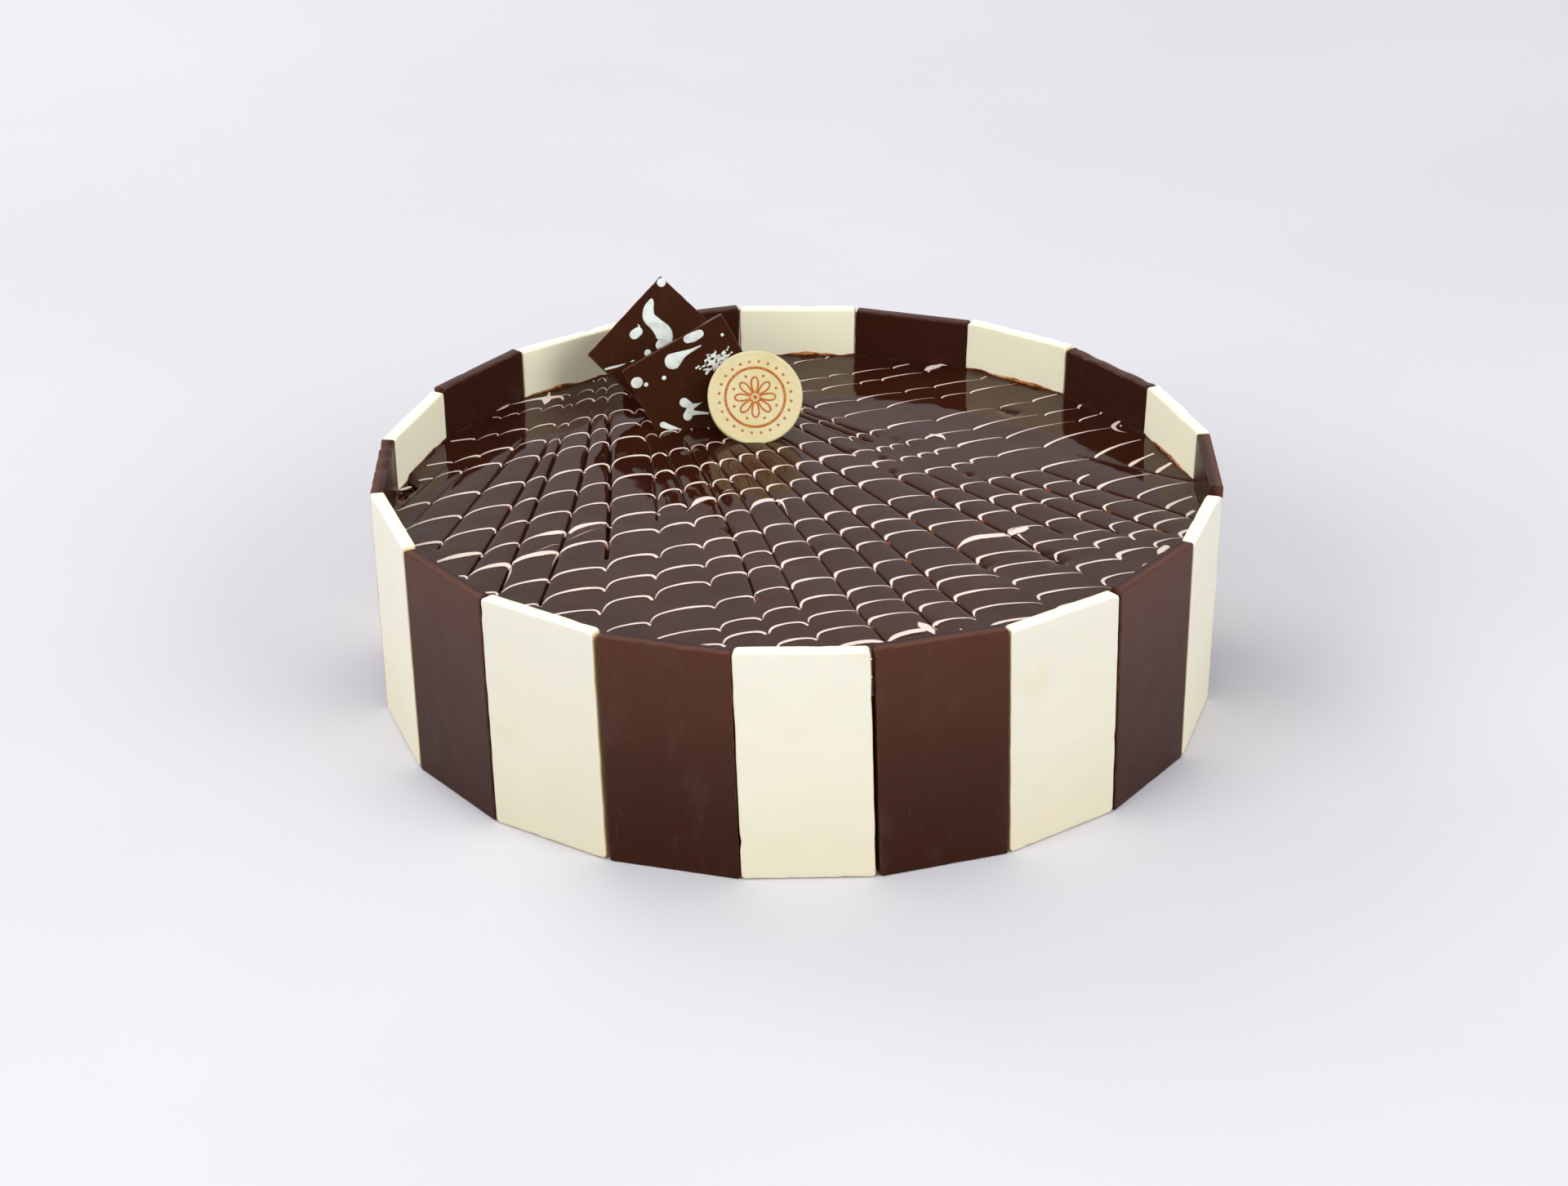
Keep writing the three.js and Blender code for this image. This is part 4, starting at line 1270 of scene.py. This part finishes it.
def makeSquare(node, square, seed):
    half = (square["side"] / 2, square["side"] / 2, wafer["thickness"] / 2)
    points, faces = slabGrid(half, wafer["gridEdge"], wafer["gridCounts"])
    points, inside = roundSlab(points, half, wafer["cornerRound"], wafer["edgeRound"])
    x, y, z = points.T
    near = np.exp(-np.maximum(inside, 0) / wafer["edgeReach"])
    length, size = wafer["edgeWave"]
    x = x - np.sign(x) * near * size * (1 + waves(np.column_stack([y, 30 * np.sign(x)]), length, seed))
    y = y - np.sign(y) * near * size * (1 + waves(np.column_stack([x, 30 * np.sign(y)]), length, seed + 1))
    length, size = wafer["faceWave"]
    z = z + size * waves(np.column_stack([x, y]), length, seed + 2) * (1 - near) - half[2]
    mesh = meshFrom(node, np.column_stack([x, y, z]), faces)
    # the edges: worn, and also a painted edge highlight
    wear = np.exp(-np.maximum(inside, 0) / 0.35) * np.exp(-((half[2] - np.abs(points[:, 2])) / 0.5) ** 2)
    storeValues(mesh, "edgeWear", wear)
    storeValues(mesh, "outward", np.ones(len(points)))
    mesh.transform(Matrix.Scale(mm, 4) @ plateMatrix(square) @ Matrix.Scale(1 / mm, 4))
    piece = makeObject(f"{node}Wafer", mesh, squareFinish)
    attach(piece, "root")
    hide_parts(node)


def makeSplashes(node, square, seed):
    paths = []
    for knots in square["splashes"]:
        path = smoothPath(knots)
        paths.append(np.insert(path, 2, wafer["splashRise"], axis=1))
    draw = np.random.default_rng(seed)
    if node.endswith("front"):
        count, centre, spread, sizes, rise = wafer["spatter"]
        for _ in range(count):
            x, y = draw.normal(centre, spread)
            radius = draw.uniform(*sizes)
            tip = (x + draw.uniform(0.1, 1.1), y + draw.uniform(-0.3, 0.3), radius * 0.7)
            path = smoothPath([(x, y, radius), tip], 2)
            paths.append(np.insert(path, 2, rise, axis=1))
    splash = sweep(f"{node}Splashes", paths, splashFinish, width=1, thickness=0.1, sides=12,
                   placed=plateMatrix(square))
    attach(splash, "root")


for number, (node, square) in enumerate(squares.items()):
    makeSquare(node, square, 60 + 10 * number)
    makeSplashes(node, square, 60 + 10 * number)


disc = {
    "centre": (-12.6, 58.3, 67.6), "faceDeg": 3, "leanDeg": 32, "turnDeg": 0,
    "radius": 15, "thickness": 3, "round": 0.5, "rimWidth": 1.1, "rimRise": 0.12,
    "around": 96,
    "wobble": [(3, 0.004, 0.6), (7, 0.003, 0)],  # its outline isn't quite round: waves, size, start
    # the print, from the middle out; a size is a dot's radius or half a line's width
    "heartSize": 0.7,
    "petals": 8,
    "petalReach": (1.4, 6.4),
    "petalWidth": 1.35,
    "petalLine": 0.3,
    "budRadius": 7.2,
    "ringRadius": 9.4,
    "ringLine": 0.42,
    "beadRadius": 11.4,
    "beads": 24,
    "dotSize": 0.45,  # of a bud and of a bead
}


def makeDisc():
    radius = disc["radius"]
    edge = disc["round"]
    rise = disc["rimRise"]
    back = -disc["thickness"]
    rim = radius - disc["rimWidth"]
    profile = [(0.0, 0.0), (3, 0), (6, 0), (9, 0), (rim - 0.6, 0), (rim - 0.3, 0.25 * rise), (rim, rise)]
    turns = np.radians([0, 22, 45, 68, 90])
    for turn in turns:
        profile.append((radius - edge * (1 - math.sin(turn)), rise - edge * (1 - math.cos(turn))))
    for turn in turns[::-1]:
        profile.append((radius - edge * (1 - math.sin(turn)), back + edge * (1 - math.cos(turn))))
    profile += [(10, back), (5, back), (0.0, back)]
    points = [(0, 0, profile[0][1])]
    for r, z in profile[1:-1]:
        for turn in np.linspace(0, 2 * math.pi, disc["around"], endpoint=False):
            wobble = 1 + sum(size * math.sin(count * turn + start) for count, size, start in disc["wobble"])
            points.append((r * wobble * math.cos(turn), r * wobble * math.sin(turn), z))
    points.append((0, 0, profile[-1][1]))
    mesh = meshFrom("disc", points, ringFaces(disc["around"], len(profile) - 2, closed=True))
    mesh.transform(Matrix.Scale(mm, 4) @ plateMatrix(disc) @ Matrix.Scale(1 / mm, 4))
    piece = makeObject("ivoryDisc", mesh, discFinish)
    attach(piece, "root")
    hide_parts("chocolate_disc")


def makePrint():
    paths = []

    def addPath(x, y, size):
        paths.append(np.column_stack([x, y, np.zeros(len(x)), np.full(len(x), size)]))

    def addDot(radius, facing, size):
        dot = smoothPath([(radius * math.cos(facing), radius * math.sin(facing), size)], 2)
        paths.append(np.insert(dot, 2, 0, axis=1))

    t = np.linspace(0, 2 * math.pi, 121)
    addPath(disc["ringRadius"] * np.cos(t), disc["ringRadius"] * np.sin(t), disc["ringLine"])
    t = np.linspace(0, 2 * math.pi, 33)
    outward = 0.5 - 0.5 * np.cos(t)
    near, far = disc["petalReach"]
    out = near + (far - near) * outward
    side = disc["petalWidth"] * np.sin(t) * (0.55 + 0.45 * outward)
    for i in range(disc["petals"]):
        facing = 2 * math.pi * i / disc["petals"]
        addPath(out * math.cos(facing) - side * math.sin(facing),
                out * math.sin(facing) + side * math.cos(facing), disc["petalLine"])
        addDot(disc["budRadius"], facing + math.pi / disc["petals"], disc["dotSize"])
    for i in range(disc["beads"]):
        addDot(disc["beadRadius"], 2 * math.pi * (i + 0.5) / disc["beads"], disc["dotSize"])
    addDot(0, 0, disc["heartSize"])
    ornament = sweep("discRosettePrint", paths, printFinish, width=1, thickness=0.18, sides=8,
                     placed=plateMatrix(disc))
    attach(ornament, "root")


makeDisc()
makePrint()
print("toppings ready")


sponge = bpy.data.objects["sponge_body"]
sponge.data.materials.clear()
sponge.data.materials.append(crumbFinish)
